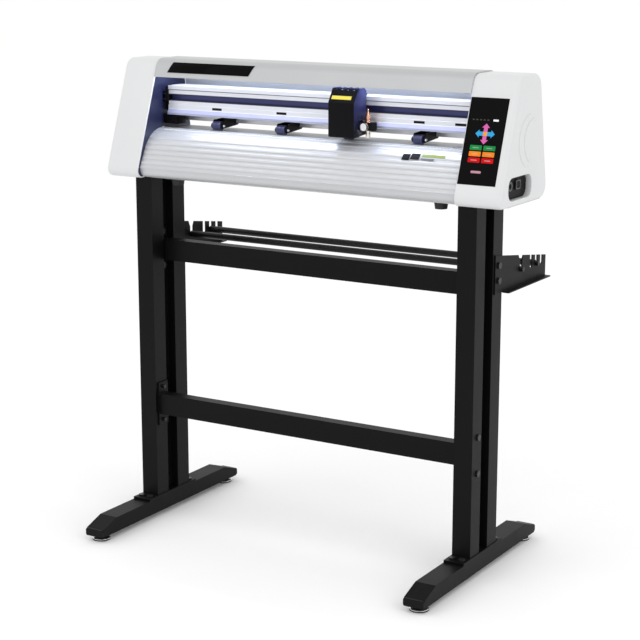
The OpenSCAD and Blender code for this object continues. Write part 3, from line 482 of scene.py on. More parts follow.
def math_node(tree, operation, a, b=None, clamp=False):
    """A Math node fed by sockets or numbers, and its result."""
    node = tree.nodes.new("ShaderNodeMath")
    node.operation = operation
    node.use_clamp = clamp
    for socket, value in zip(node.inputs, (a, b)):
        if isinstance(value, (int, float)):
            socket.default_value = value
        elif value is not None:
            tree.links.new(value, socket)
    return node.outputs[0]


def mix_node(tree, amount, a, b):
    """A colour Mix node fed by sockets or colours, and its result."""
    node = tree.nodes.new("ShaderNodeMix")
    node.data_type = "RGBA"
    for socket, value in zip((node.inputs[0], node.inputs[6], node.inputs[7]), (amount, a, b)):
        if isinstance(value, (int, float)):
            socket.default_value = value
        elif isinstance(value, tuple):
            socket.default_value = (*value, 1.0)
        else:
            tree.links.new(value, socket)
    return node.outputs[2]


def noise_node(tree, vector, scale, detail=2.0):
    """A Noise node over a vector, and its value."""
    node = tree.nodes.new("ShaderNodeTexNoise")
    node.inputs["Detail"].default_value = detail
    tree.links.new(vector, node.inputs["Vector"])
    if isinstance(scale, (int, float)):
        node.inputs["Scale"].default_value = scale
    else:
        tree.links.new(scale, node.inputs["Scale"])
    return node.outputs[0]


def coordinates(tree):
    """The object's own coordinates."""
    return tree.nodes.new("ShaderNodeTexCoord").outputs["Object"]


def face_direction(tree):
    """The way a surface faces."""
    return tree.nodes.new("ShaderNodeNewGeometry").outputs["Normal"]


def split_vector(tree, vector):
    """The X, Y and Z of a vector."""
    node = tree.nodes.new("ShaderNodeSeparateXYZ")
    tree.links.new(vector, node.inputs[0])
    return node.outputs


def map_range(tree, value, low, high, to_low=0.0, to_high=1.0, curve="LINEAR"):
    """A value moved from the range between low and high to another."""
    node = tree.nodes.new("ShaderNodeMapRange")
    node.interpolation_type = curve
    tree.links.new(value, node.inputs["Value"])
    node.inputs["From Min"].default_value = low
    node.inputs["From Max"].default_value = high
    node.inputs["To Min"].default_value = to_low
    node.inputs["To Max"].default_value = to_high
    return node.outputs[0]


def make_grain_group():
    """Fine surface grain, stretched by a vector, that moves roughness and height."""
    group, start, end = new_group(
        "Surface grain",
        [("Scale", FLOAT, 900.0), ("Stretch", VECTOR, (1.0, 1.0, 1.0)),
         ("Roughness", FLOAT, 0.5), ("Roughness spread", FLOAT, 0.1)],
        [("Roughness", FLOAT), ("Height", FLOAT)],
    )
    stretched = group.nodes.new("ShaderNodeVectorMath")
    stretched.operation = "MULTIPLY"
    group.links.new(coordinates(group), stretched.inputs[0])
    group.links.new(start.outputs["Stretch"], stretched.inputs[1])
    grain = noise_node(group, stretched.outputs[0], start.outputs["Scale"], 3.0)
    broad = noise_node(group, stretched.outputs[0], 14.0, 3.0)
    swing = math_node(group, "SUBTRACT", math_node(group, "ADD", grain, broad), 1.0)
    moved = math_node(group, "MULTIPLY", swing, start.outputs["Roughness spread"])
    rough = math_node(group, "ADD", start.outputs["Roughness"], moved, clamp=True)
    group.links.new(rough, end.inputs["Roughness"])
    group.links.new(grain, end.inputs["Height"])
    return group


def make_mottle_group():
    """Slow change of colour over a surface, with a little fine speckle."""
    group, start, end = new_group(
        "Mottle",
        [("Colour", COLOUR, (0.5, 0.5, 0.5, 1)), ("Spread", FLOAT, 0.1), ("Scale", FLOAT, 9.0)],
        [("Colour", COLOUR), ("Mask", FLOAT)],
    )
    spots = coordinates(group)
    broad = noise_node(group, spots, start.outputs["Scale"], 4.0)
    speckle = noise_node(group, spots, 1400.0, 1.0)
    both = math_node(group, "ADD", broad, math_node(group, "MULTIPLY", speckle, 0.35))
    swing = math_node(group, "SUBTRACT", both, 0.675)
    spread = math_node(group, "MULTIPLY", start.outputs["Spread"], 4.0)
    change = math_node(group, "MULTIPLY", swing, spread)
    factor = math_node(group, "ADD", change, 1.0)
    scaled = group.nodes.new("ShaderNodeVectorMath")
    scaled.operation = "SCALE"
    group.links.new(start.outputs["Colour"], scaled.inputs[0])
    group.links.new(factor, scaled.inputs["Scale"])
    group.links.new(scaled.outputs[0], end.inputs["Colour"])
    group.links.new(broad, end.inputs["Mask"])
    return group


def make_edge_group():
    """Rounded shading at edges, and a lighter colour along them that is partly rubbed wear and partly
    painted sheen.
    """
    group, start, end = new_group(
        "Rubbed edges and painted sheen",
        [("Colour", COLOUR, (0.5, 0.5, 0.5, 1)), ("Rub colour", COLOUR, (0.7, 0.7, 0.7, 1)),
         ("Amount", FLOAT, 0.3), ("Radius", FLOAT, 0.0008)],
        [("Colour", COLOUR), ("Normal", VECTOR), ("Mask", FLOAT)],
    )
    rounded = group.nodes.new("ShaderNodeBevel")
    rounded.samples = 4
    group.links.new(start.outputs["Radius"], rounded.inputs["Radius"])
    turn = group.nodes.new("ShaderNodeVectorMath")
    turn.operation = "DOT_PRODUCT"
    group.links.new(rounded.outputs[0], turn.inputs[0])
    group.links.new(face_direction(group), turn.inputs[1])
    away = math_node(group, "SUBTRACT", 1.0, turn.outputs["Value"], clamp=True)
    patchy = noise_node(group, coordinates(group), 60.0, 3.0)
    sharpness = math_node(group, "MULTIPLY", away, 5.0, clamp=True)
    mask = math_node(group, "MULTIPLY", sharpness, patchy)
    amount = math_node(group, "MULTIPLY", mask, start.outputs["Amount"], clamp=True)
    mixed = mix_node(group, amount, start.outputs["Colour"], start.outputs["Rub colour"])
    group.links.new(mixed, end.inputs["Colour"])
    group.links.new(rounded.outputs[0], end.inputs["Normal"])
    group.links.new(amount, end.inputs["Mask"])
    return group


def make_dust_group():
    """Thin dust that settles on faces that look up."""
    group, start, end = new_group(
        "Settled dust",
        [("Colour", COLOUR, (0.5, 0.5, 0.5, 1)), ("Dust colour", COLOUR, (0.62, 0.6, 0.57, 1)),
         ("Amount", FLOAT, 0.1)],
        [("Colour", COLOUR), ("Mask", FLOAT)],
    )
    facing = split_vector(group, face_direction(group))
    up = math_node(group, "MULTIPLY", facing["Z"], 1.0, clamp=True)
    patchy = noise_node(group, coordinates(group), 35.0, 5.0)
    settled = math_node(group, "MULTIPLY", up, patchy)
    mask = math_node(group, "MULTIPLY", settled, start.outputs["Amount"], clamp=True)
    mixed = mix_node(group, mask, start.outputs["Colour"], start.outputs["Dust colour"])
    group.links.new(mixed, end.inputs["Colour"])
    group.links.new(mask, end.inputs["Mask"])
    return group


GROUPS = {}


def shader_groups():
    """The shared effects, made once."""
    if not GROUPS:
        GROUPS["grain"] = make_grain_group()
        GROUPS["mottle"] = make_mottle_group()
        GROUPS["edges"] = make_edge_group()
        GROUPS["dust"] = make_dust_group()
    return GROUPS


def place_group(tree, key, **values):
    """Puts a shared effect into a material and sets its named inputs."""
    node = tree.nodes.new("ShaderNodeGroup")
    node.node_tree = shader_groups()[key]
    for label, value in values.items():
        socket = node.inputs[label.replace("_", " ").capitalize()]
        if isinstance(value, bpy.types.NodeSocket):
            tree.links.new(value, socket)
        elif isinstance(value, tuple) and socket.type == "RGBA":
            socket.default_value = (*value, 1.0)
        else:
            socket.default_value = value
    return node


# ---------- finishes ----------


def finish(
    name, colour, roughness, metallic=0.0, spread=0.05, grain=900.0, stretch=(1.0, 1.0, 1.0),
    bump=0.1, depth=0.00005, rough_spread=0.1, edge=0.0006, rub=0.15, rub_colour=None,
    dust=0.05, coat=0.0, coat_roughness=0.1, specular=0.5, pattern=None,
):
    """A finished material: mottled colour, grain, rounded edges lightened by rubbed wear and painted
    sheen, settled dust.
    """
    material = bpy.data.materials.new(name)
    material.use_nodes = True
    tree = material.node_tree
    shader = tree.nodes["Principled BSDF"]
    colour = tuple(colour)
    # default edge colour: lighter than the finish, partly rubbed wear and partly painted sheen
    lighter = tuple(min(1.0, c * 2.0 + 0.06) for c in colour)
    base = pattern(tree, colour) if pattern else colour
    mottle = place_group(tree, "mottle", colour=base, spread=spread)
    edges = place_group(
        tree, "edges", colour=mottle.outputs["Colour"], rub_colour=tuple(rub_colour or lighter),
        amount=rub, radius=edge,
    )
    dusted = place_group(tree, "dust", colour=edges.outputs["Colour"], amount=dust)
    grained = place_group(
        tree, "grain", scale=grain, stretch=stretch, roughness=roughness,
        roughness_spread=rough_spread,
    )
    bumped = tree.nodes.new("ShaderNodeBump")
    bumped.inputs["Strength"].default_value = bump
    bumped.inputs["Distance"].default_value = depth
    tree.links.new(grained.outputs["Height"], bumped.inputs["Height"])
    tree.links.new(edges.outputs["Normal"], bumped.inputs["Normal"])
    tree.links.new(dusted.outputs["Colour"], shader.inputs["Base Color"])
    tree.links.new(grained.outputs["Roughness"], shader.inputs["Roughness"])
    tree.links.new(bumped.outputs["Normal"], shader.inputs["Normal"])
    shader.inputs["Metallic"].default_value = metallic
    shader.inputs["Coat Weight"].default_value = coat
    shader.inputs["Coat Roughness"].default_value = coat_roughness
    shader.inputs["Specular IOR Level"].default_value = specular
    return material


def glowing(name, colour, strength, spread=0.12):
    """A lit surface whose colour changes a little over it."""
    material = bpy.data.materials.new(name)
    material.use_nodes = True
    tree = material.node_tree
    shader = tree.nodes["Principled BSDF"]
    mottle = place_group(tree, "mottle", colour=tuple(colour), spread=spread, scale=60.0)
    tree.links.new(mottle.outputs["Colour"], shader.inputs["Base Color"])
    tree.links.new(mottle.outputs["Colour"], shader.inputs["Emission Color"])
    shader.inputs["Emission Strength"].default_value = strength
    shader.inputs["Roughness"].default_value = 0.35
    shader.inputs["Specular IOR Level"].default_value = 0.05
    return material


def height_band(tree, low, high, soft=0.6 * MM):
    """1 between two heights of the object and 0 outside them."""
    height = split_vector(tree, coordinates(tree))["Z"]
    rise = map_range(tree, height, low - soft, low + soft, curve="SMOOTHSTEP")
    fall = map_range(tree, height, high - soft, high + soft, 1.0, 0.0, "SMOOTHSTEP")
    return math_node(tree, "MULTIPLY", rise, fall)


def rail_painted_light_and_shade(tree, colour):
    """The rail's silver, with a painted blue reflection on its lip, painted shade tinted blue in its
    belt groove and a painted shadow line in the thin gap above it.
    """
    middle = belt_height()
    # painted blue reflection on the lip, painted shade in the belt groove, painted shadow in the thin
    # gap above it
    painted_bands = (
        (-36 * MM, -25 * MM, (0.40, 0.42, 0.60)),
        (-7.4 * MM, 7.4 * MM, tuple(colours().groove)),
        (15.3 * MM, 16.7 * MM, (0.03, 0.03, 0.05)),
    )
    for low, high, shade in painted_bands:
        colour = mix_node(tree, height_band(tree, middle + low, middle + high), colour, shade)
    return colour


def hood_painted_reflection(tree, colour):
    """Black in front, with a painted blue reflection on the faces that look up or sideways, stronger
    higher up.
    """
    low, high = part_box("carriage_cover")
    facing = split_vector(tree, face_direction(tree))
    side = math_node(tree, "ABSOLUTE", facing["X"])
    up = math_node(tree, "MAXIMUM", facing["Z"], 0.0)
    reflection_by_facing = map_range(tree, math_node(tree, "MAXIMUM", side, up), 0.6, 1.0)
    height = split_vector(tree, coordinates(tree))["Z"]
    reflection_by_height = map_range(tree, height, low.z + 5 * MM, high.z - 10 * MM, 0.12)
    # share of painted blue reflection at each spot
    amount = math_node(tree, "MULTIPLY", reflection_by_facing, reflection_by_height)
    return mix_node(tree, amount, colour, tuple(colours().hood_side_reflection))


def board_pattern(tree, colour):
    """Copper tracks on a circuit board."""
    cells = tree.nodes.new("ShaderNodeTexVoronoi")
    cells.feature = "DISTANCE_TO_EDGE"
    cells.inputs["Scale"].default_value = 240.0
    tree.links.new(coordinates(tree), cells.inputs["Vector"])
    track = math_node(tree, "LESS_THAN", cells.outputs["Distance"], 0.06)
    return mix_node(tree, track, colour, (0.20, 0.42, 0.16))


def belt_height():
    """Height of the belt's middle."""
    low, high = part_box("drive_belt")
    return (low.z + high.z) / 2


def finish_table():
    """Every material slot of the record with its finish."""
    c = colours()
    along = (0.02, 1.0, 1.0)
    return {
        "stand_black": finish("powder_coat", c.coat, 0.44, spread=0.1, grain=1500, bump=0.35,
                              # the lighter edge colour is painted sheen as well as rubbed wear
                              rub=0.2, rub_colour=(0.04, 0.04, 0.043), edge=0.0009, dust=0.004,
                              specular=0.1),
        "black_plastic": finish("moulded_black", (0.006, 0.006, 0.007), 0.42, grain=1100,
                                bump=0.2, edge=0.0007, specular=0.1, dust=0.003),
        "black_bolt": finish("black_oxide", (0.02, 0.02, 0.021), 0.36, 0.6, grain=700, bump=0.15,
                             rub=0.5, rub_colour=(0.25, 0.25, 0.26), edge=0.0005),
        "base_steel": finish("painted_base", (0.62, 0.62, 0.63), 0.5, 0.1, grain=900, bump=0.15),
        "rubber_black": finish("soft_rubber", (0.012, 0.012, 0.012), 0.72, grain=800, bump=0.3),
        # dark grey paint with the blue of the strip light painted into it
        "plate_steel": finish("inner_plate_paint_and_painted_blue_light", c.inner, 0.34, 0.15, grain=1300, bump=0.2,
                              rub_colour=(0.3, 0.32, 0.4)),
        "cover_white": finish("satin_cover", c.cover, 0.38, spread=0.012, grain=1700, bump=0.12,
                              rub=0.1, rub_colour=(0.85, 0.85, 0.85), edge=0.0008, dust=0.02),
        "top_silver": finish("satin_top_bar", c.top, 0.36, 0.25, spread=0.02, grain=1300,
                             stretch=along, bump=0.1, dust=0.02),
        "platen_aluminium": finish("anodised_platen", c.platen, 0.36, 0.35, spread=0.02,
                                   grain=900, stretch=along, bump=0.1, dust=0.02, edge=0.0004,
                                   rough_spread=0.03),
        "strip_white": finish("cutting_strip", (0.74, 0.74, 0.7), 0.5, grain=500, bump=0.15),
        "rail_aluminium": finish("extruded_rail", c.rail, 0.28, 0.4, spread=0.03, grain=1000,
                                 stretch=along, bump=0.08, edge=0.0005, rough_spread=0.03,
                                 pattern=rail_painted_light_and_shade),
        "belt_rubber": finish("belt_rubber", (0.02, 0.022, 0.045), 0.6, grain=900, bump=0.3),
        "pulley_metal": finish("turned_pulley", (0.6, 0.61, 0.63), 0.26, 1.0, grain=700,
                               stretch=(1.0, 0.1, 1.0), bump=0.15),
        "motor_black": finish("motor_case", (0.02, 0.02, 0.023), 0.4, 0.3, grain=900, bump=0.2),
        "hood_black": finish("gloss_hood", c.hood, 0.2, spread=0.08, grain=120, bump=0.05,
                             rough_spread=0.05, coat=0.02, coat_roughness=0.04, rub=0.03,
                             edge=0.0012, dust=0.001, specular=0.08, pattern=hood_painted_reflection),
        "holder_brass": finish("turned_copper", c.copper, 0.24, 1.0, spread=0.06, grain=900,
                               stretch=(1.0, 1.0, 12.0), bump=0.2, rub=0.3,
                               # the cream edge colour is a painted highlight as well as rubbed wear
                               rub_colour=(0.95, 0.75, 0.6)),
        "blade_steel": finish("ground_carbide", (0.7, 0.71, 0.73), 0.2, 1.0, grain=1500),
        "screw_steel": finish("polished_steel", (0.78, 0.78, 0.8), 0.16, 1.0, grain=700,
                              stretch=(1.0, 0.1, 1.0), bump=0.1),
        "shaft_steel": finish("ground_steel", (0.80, 0.81, 0.83), 0.34, 0.5, grain=1100,
                              stretch=(8.0, 1.0, 1.0), bump=0.15),
        "gear_plastic": finish("natural_acetal", (0.74, 0.71, 0.63), 0.42, grain=500, bump=0.1),
        "pinion_brass": finish("hobbed_brass", (0.7, 0.52, 0.22), 0.3, 1.0, grain=700),
        "screen_glass": finish("screen_glass", (0.0018, 0.0018, 0.002), 0.09, spread=0.2,
                               grain=40, bump=0.02, rough_spread=0.05, rub=0.0,
                               dust=0.0, edge=0.0004, specular=0.04),
        "board_green": finish("circuit_board", (0.02, 0.16, 0.06), 0.4, grain=300,
                              pattern=board_pattern),
        "supply_case": finish("folded_case", (0.56, 0.57, 0.58), 0.36, 0.9, grain=300,
                              stretch=(0.1, 1.0, 1.0)),
        "rod_black": finish("painted_tube", (0.007, 0.007, 0.008), 0.36, grain=1000,
                            bump=0.2, edge=0.0006, specular=0.25, dust=0.01),
        "arm_black": finish("painted_arm", (0.004, 0.004, 0.005), 0.4, grain=1200, bump=0.25,
                            specular=0.06, dust=0.001, rub=0.05),
        "wheel_rubber": finish("ribbed_wheel", (0.03, 0.033, 0.10), 0.4, grain=700, bump=0.3,
                               rub=0.3, rub_colour=(0.16, 0.17, 0.3)),
        "pad_black": finish("pad_rubber", (0.014, 0.014, 0.015), 0.5, grain=700, bump=0.3),
    }


FINISHES = {}


def finish_of(slot):
    """The material of a record slot."""
    if not FINISHES:
        FINISHES.update(finish_table())
    return FINISHES[slot]


# ---------- operators ----------


class CUTTER_OT_paint_parts(bpy.types.Operator):
    """Give every part of the frame its finish and soften the steel's edges"""

    bl_idname = "cutter.paint_parts"
    bl_label = "Paint the frame's parts"

    def execute(self, context):
        softened = {  # share of the stand's edge rounding
            "foot_end_caps": 1.6, "rubber_feet": 0.9, "touch_screen": 0.6, "lift_lever": 0.7,
        }
        for name, node in NODES.items():
            node.data.materials.clear()
            node.data.materials.append(finish_of(SLOT_OF[name]))
            if name in softened:
                weld = node.modifiers.new("weld", "WELD")
                weld.merge_threshold = 0.01 * MM
                soften(node, shape().edge_round * softened[name])
        return {"FINISHED"}


class CUTTER_OT_end_covers(bpy.types.Operator):
    """Build both end covers as thin shells with soft edges, a screen window and a socket recess"""

    bl_idname = "cutter.end_covers"
    bl_label = "Build the end covers"

    def execute(self, context):
        self.cover("left_cover_shell", "left_end_cover", OPENING_LEFT, LEFT_LOW.x)
        right = self.shell("right_cover_shell", OPENING_RIGHT, RIGHT_HIGH.x)
        low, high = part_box("io_panel")
        rim, gap = 2 * MM, 0.3 * MM
        y0, y1, z0, z1 = low.y + rim, high.y - rim, low.z + rim, high.z - rim
        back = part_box("right_end_cover")[1].x - 12 * MM
        cup = self.slot_block("cup", back, RIGHT_HIGH.x - 1.5 * MM, y0, y1, z0, z1, rim)
        combine(right, [cup], "UNION")
        mouth = self.slot_block("mouth", back - MM, RIGHT_HIGH.x + 5 * MM, y0, y1, z0, z1, 0.0)
        first, last, _ = slope_span("touch_screen")
        screen_low, screen_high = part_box("touch_screen")
        x0, x1 = screen_low.x - gap, screen_high.x + gap
        first, last = first - gap, last + gap
        window = solid("window", [
            [slope_point(x, u, out) for x, u in ((x0, first), (x1, first), (x1, last), (x0, last))]
            for out in (-8 * MM, 8 * MM)
        ])
        combine(right, [mouth, window])
        fit(rounded(right, 0.5 * MM, degrees=50), finish_of("cover_white"),
            replaces=["right_end_cover"])
        return {"FINISHED"}

    def cover(self, name, node, opening, side):
        """A plain cover."""
        obj = self.shell(name, opening, side)
        fit(obj, finish_of("cover_white"), replaces=[node])

    def shell(self, name, opening, side):
        """A hollow cover, rounded round its side and at its lip, open towards the opening."""
        way = 1 if side > opening else -1
        lip, rounding, wall = shape().cover_lip, shape().cover_round, shape().cover_wall
        rings = []
        for k in range(4, -1, -1):
            a = math.pi / 2 * k / 4
            rings.append((opening + way * lip * (1 - math.sin(a)), lip * (1 - math.cos(a))))
        for k in range(9):
            a = math.pi / 2 * k / 8
            rings.append((side - way * rounding * (1 - math.sin(a)), rounding * (1 - math.cos(a))))
        outer = solid(name, [[(x, y, z) for y, z in body_outline(inset)] for x, inset in rings])
        inner = along_x("hollow", body_outline(wall), opening - way * MM, side - way * wall)
        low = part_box("base_plate")[0]
        edge = side - way * (wall - 0.03 * MM)
        tray = block("tray", (min(opening - way * MM, edge), low.y - 0.05 * MM, low.z - MM),
                     (max(opening - way * MM, edge), REAR_FOOT - 30 * MM, low.z + wall + 0.5 * MM))
        return combine(outer, [inner, tray])

    def slot_block(self, name, x0, x1, y0, y1, z0, z1, grow):
        """A block with rounded corners round the socket recess."""
        outline = round_rectangle(y0 - grow, y1 + grow, z0 - grow, z1 + grow, 17 * MM + grow, 8)
        return along_x(name, outline, x0, x1)


class CUTTER_OT_cover_relief(bpy.types.Operator):
    """Raise two arcs on each end cover's side"""

    bl_idname = "cutter.cover_relief"
    bl_label = "Raise the covers' arcs"

    def execute(self, context):
        base_y = REAR_FOOT
        arcs = (("outer", -88 * MM, 118 * MM, 49.2 * MM, 83, 266),
                ("inner", -72.6 * MM, 117 * MM, 40.9 * MM, 78, 258))
        for side, x, way in (("right", RIGHT_HIGH.x, 1), ("left", LEFT_LOW.x, -1)):
            for name, back, up, radius, first, last in arcs:
                rib = self.rib(f"{side}_cover_arc_{name}", x, way, base_y + back,
                               BODY_BOTTOM + up, radius, math.radians(first), math.radians(last))
                fit(rib, finish_of("cover_white"), degrees=60)
        return {"FINISHED"}

    def rib(self, name, x, way, y, z, radius, first, last):
        """A half-round rib along an arc, its ends fading into the side."""
        width, height = shape().relief_width / 2, shape().relief_height
        rings, steps = [], 40
        for k in range(steps + 1):
            t = k / steps
            a = first + (last - first) * t
            fade = min(1.0, math.sin(math.pi * t) * 3.0) + 0.02
            ring = []
            for m in range(9):
                b = math.pi * m / 8
                r = radius + width * math.cos(b)
                rise = height * fade * math.sin(b) - 0.1 * MM
                ring.append((x + way * rise, y + r * math.cos(a), z + r * math.sin(a)))
            rings.append(ring)
        return solid(name, rings)


class CUTTER_OT_top_badge(bpy.types.Operator):
    """Lay a plain slanted badge on the top bar's front"""

    bl_idname = "cutter.top_badge"
    bl_label = "Lay the plain badge"

    def execute(self, context):
        low = BODY_TOP - 26 * MM
        rise, length = shape().badge_rise, shape().badge_length
        start, slant = OPENING_LEFT + 32 * MM, 10.5 * MM
        rows = 10
        sheets = []
        for out in (0.1 * MM, 1.0 * MM):
            sheet = []
            for k in range(rows + 1):
                x, z = start + slant * k / rows, low + rise * k / rows
                y = top_bar_front(z, out)
                sheet.append(((x, y, z), (x + length, y, z)))
            sheets.append(sheet)
        badge = rounded(slab("plain_badge", *sheets), 0.3 * MM, degrees=50)
        fit(badge, finish_of("screen_glass"))
        return {"FINISHED"}


class CUTTER_OT_carriage_hood(bpy.types.Operator):
    """Build the carriage's gloss hood with flutes over its top, and its plain label"""

    bl_idname = "cutter.carriage_hood"
    bl_label = "Build the carriage hood"

    def execute(self, context):
        low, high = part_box("carriage_cover")
        low.z -= 4 * MM
        wall = shape().hood_wall
        kink, lean_in, chamfer = high.z - 27 * MM, 17 * MM, 6 * MM
        outline = (
            (low.y, low.z), (low.y, kink), (low.y + lean_in, high.z),
            (high.y - 8 * MM, high.z), (high.y, high.z - chamfer), (high.y, low.z),
        )
        hood = along_x("carriage_hood", outline, low.x, high.x)
        rounded(hood, shape().hood_round, 3, 20)
        inner = (
            (low.y + wall, low.z - MM), (low.y + wall, kink - 0.3 * MM),
            (low.y + lean_in + wall * 0.7, high.z - wall * 1.4),
            (high.y - 8 * MM, high.z - wall * 1.4), (high.y + 2 * MM, high.z - chamfer - wall),
            (high.y + 2 * MM, low.z - MM),
        )
        hollow = along_x("hollow", inner, low.x + wall, high.x - wall)
        arm_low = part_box("tool_arm")[0]
        slot = block("slot", (high.x - wall - MM, arm_low.y - 3 * MM, low.z - MM),
                     (high.x + MM, high.y + MM, arm_low.z + 19 * MM))
        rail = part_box("carriage_rail")[0]
        heel = block("heel", (low.x - MM, rail.y - 11.5 * MM, low.z - MM),
                     (high.x + MM, high.y + 2 * MM, rail.z + 14 * MM))
        combine(hood, [hollow, slot, heel, *self.flutes(low, high)])
        rounded(hood, 0.35 * MM)
        fit(hood, finish_of("hood_black"), "carriage", ["carriage_cover"])
        self.label(low, high, kink, lean_in)
        return {"FINISHED"}

    def flutes(self, low, high):
        """The round tools that cut the flutes over the hood's top."""
        count, radius, margin = shape().flute_count, shape().flute_radius, 2.5 * MM
        pitch = (high.x - low.x - 2 * margin) / count
        profile = ((0, radius), (high.y - low.y + 12 * MM, radius))
        tools = []
        for k in range(count):
            start = (low.x + margin + pitch * (k + 0.5), low.y - 5 * MM, high.z + radius * 0.28)
            tools.append(turned("flute", start, "Y", profile, 40))
        return tools

    def label(self, low, high, kink, lean_in):
        """A plain yellow label with a thin dark border, on the hood's leaning face."""
        slope = Vector((0, lean_in, high.z - kink)).normalized()
        outward = Vector((0, -slope.z, slope.y))
        middle = Vector(((low.x + high.x) / 2 - 1.5 * MM, low.y, kink)) + slope * 10.5 * MM
        for name, half_w, half_h, rise, colour in (
            ("label_border", 23 * MM, 4.6 * MM, 0.35 * MM, (0.02, 0.02, 0.02)),
            ("plain_label", 22 * MM, 3.8 * MM, 0.6 * MM, (0.85, 0.70, 0.06)),
        ):
            corners = ((-1, -1), (1, -1), (1, 1), (-1, 1))
            rings = [
                [middle + Vector((a * half_w, 0, 0)) + slope * b * half_h + outward * out
                 for a, b in corners]
                for out in (0.0, rise)
            ]
            plate = rounded(solid(name, rings), 0.12 * MM, 1)
            fit(plate, finish(f"{name}_film", colour, 0.35, grain=500), "carriage")


class CUTTER_OT_blade_holder(bpy.types.Operator):
    """Turn the stepped blade holder: copper-toned above its clamp, pale below it"""

    bl_idname = "cutter.blade_holder"
    bl_label = "Turn the blade holder"

    def execute(self, context):
        low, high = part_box("blade_holder")
        x, y = (low.x + high.x) / 2, (low.y + high.y) / 2
        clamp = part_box("tool_arm")[0].z + 16 * MM
        upper = ((-14.0, 5.9), (0.6, 5.9), (0.7, 5.4), (3.2, 5.4), (3.4, 3.8), (6.4, 3.8),
                 (6.6, 5.6), (7.2, 6.1), (9.4, 6.1), (9.9, 5.5), (10.6, 5.5), (10.8, 6.0),
                 (13.0, 6.0), (13.4, 4.7), (16.0, 4.5), (16.2, 3.2), (19.4, 3.0), (19.6, 1.9),
                 (25.2, 1.7), (25.9, 0.9))
        sleeve = ((-33.0, 2.2), (-32.4, 3.0), (-30.6, 3.6), (-30.4, 4.5), (-25.0, 4.7),
                  (-24.6, 5.3), (-22.6, 5.3), (-22.2, 4.8), (-18.4, 4.8), (-18.2, 5.6),
                  (-14.0, 5.6))
        for name, profile, material, nodes in (
            ("holder_body", upper, finish_of("holder_brass"), ["blade_holder"]),
            ("holder_sleeve", sleeve,
             finish("pale_sleeve", (0.86, 0.78, 0.70), 0.22, 1.0, grain=900, bump=0.1), ()),
        ):
            piece = turned(name, (x, y, clamp), "Z",
                           [(along * MM, radius * MM) for along, radius in profile], 40)
            fit(piece, material, "tool", nodes, degrees=24)
        return {"FINISHED"}


class CUTTER_OT_pinch_wheels(bpy.types.Operator):
    """Turn the ribbed pinch wheels and the bright ends of their pins"""

    bl_idname = "cutter.pinch_wheels"
    bl_label = "Turn the pinch wheels"

    def execute(self, context):
        cap = ((-0.5, 3.1), (0.7, 3.1), (1.3, 2.7), (2.4, 1.9), (2.8, 0.9))
        for number in range(1, 5):
            node = f"pinch_wheel_{number}"
            low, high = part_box(node)
            middle = (low + high) / 2
            tread = self.tread((high.z - low.z) / 2, (high.x - low.x) / 2)
            wheel = turned(f"pinch_tyre_{number}", middle, "X", tread, 48)
            fit(wheel, finish_of("wheel_rubber"), f"wheel_{number}", [node],
                degrees=24)
            arm_low, arm_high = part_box(f"pinch_arm_{number}")
            caps = []
            for side, way in ((arm_low.x, -1), (arm_high.x, 1)):
                profile = [(way * along * MM, radius * MM) for along, radius in cap]
                caps.append(turned("cap", (side, middle.y, middle.z), "X", profile, 24))
            fit(join(f"pinch_pin_{number}", caps), finish_of("screw_steel"), f"arm_{number}",
                degrees=30)
        return {"FINISHED"}

    def tread(self, radius, half):
        """Outline of a wheel with ribs, and a groove between each two."""
        ribs, groove = 5, 1.1 * MM
        crest, valley, shoulder = radius - 0.15 * MM, radius - 1.3 * MM, radius - 1.4 * MM
        profile = [(-half, shoulder)]
        for k in range(ribs):
            start = -half + 2 * half * k / ribs
            end = start + 2 * half / ribs
            profile += [(start + groove * 0.6, crest), (end - groove * 0.6, crest)]
            if k < ribs - 1:
                profile += [(end - groove * 0.3, valley), (end + groove * 0.3, valley)]
        return [*profile, (half, shoulder)]


class CUTTER_OT_sockets(bpy.types.Operator):
    """Ring the inlet and frame the rocker in the right cover's recess"""

    bl_idname = "cutter.sockets"
    bl_label = "Ring the sockets"

    def execute(self, context):
        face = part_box("io_panel")[1].x
        profile = ((-0.4, 6.0), (-0.4, 9.2), (0.7, 9.2), (1.3, 8.6), (1.3, 6.9), (0.6, 6.0))
        ring = hoop("inlet_ring", (face, *INLET), "X", [(a * MM, r * MM) for a, r in profile], 48)
        edge = finish("worn_bezel", (0.10, 0.10, 0.105), 0.3, 0.6, grain=700, bump=0.1)
        fit(ring, edge, degrees=30)
        bezel = self.round_the_rocker("rocker_bezel", face - 0.3 * MM, face + 0.9 * MM, 3.2 * MM)
        hole = self.round_the_rocker("hole", face - 2 * MM, face + 2 * MM, 1.2 * MM)
        combine(bezel, [hole])
        fit(rounded(bezel, 0.3 * MM), edge)
        return {"FINISHED"}

    def round_the_rocker(self, name, x0, x1, grow):
        """A block round the rocker, larger than it by grow on each side."""
        low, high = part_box("power_switch")
        return block(name, (x0, low.y - grow, low.z - grow), (x1, high.y + grow, high.z + grow))


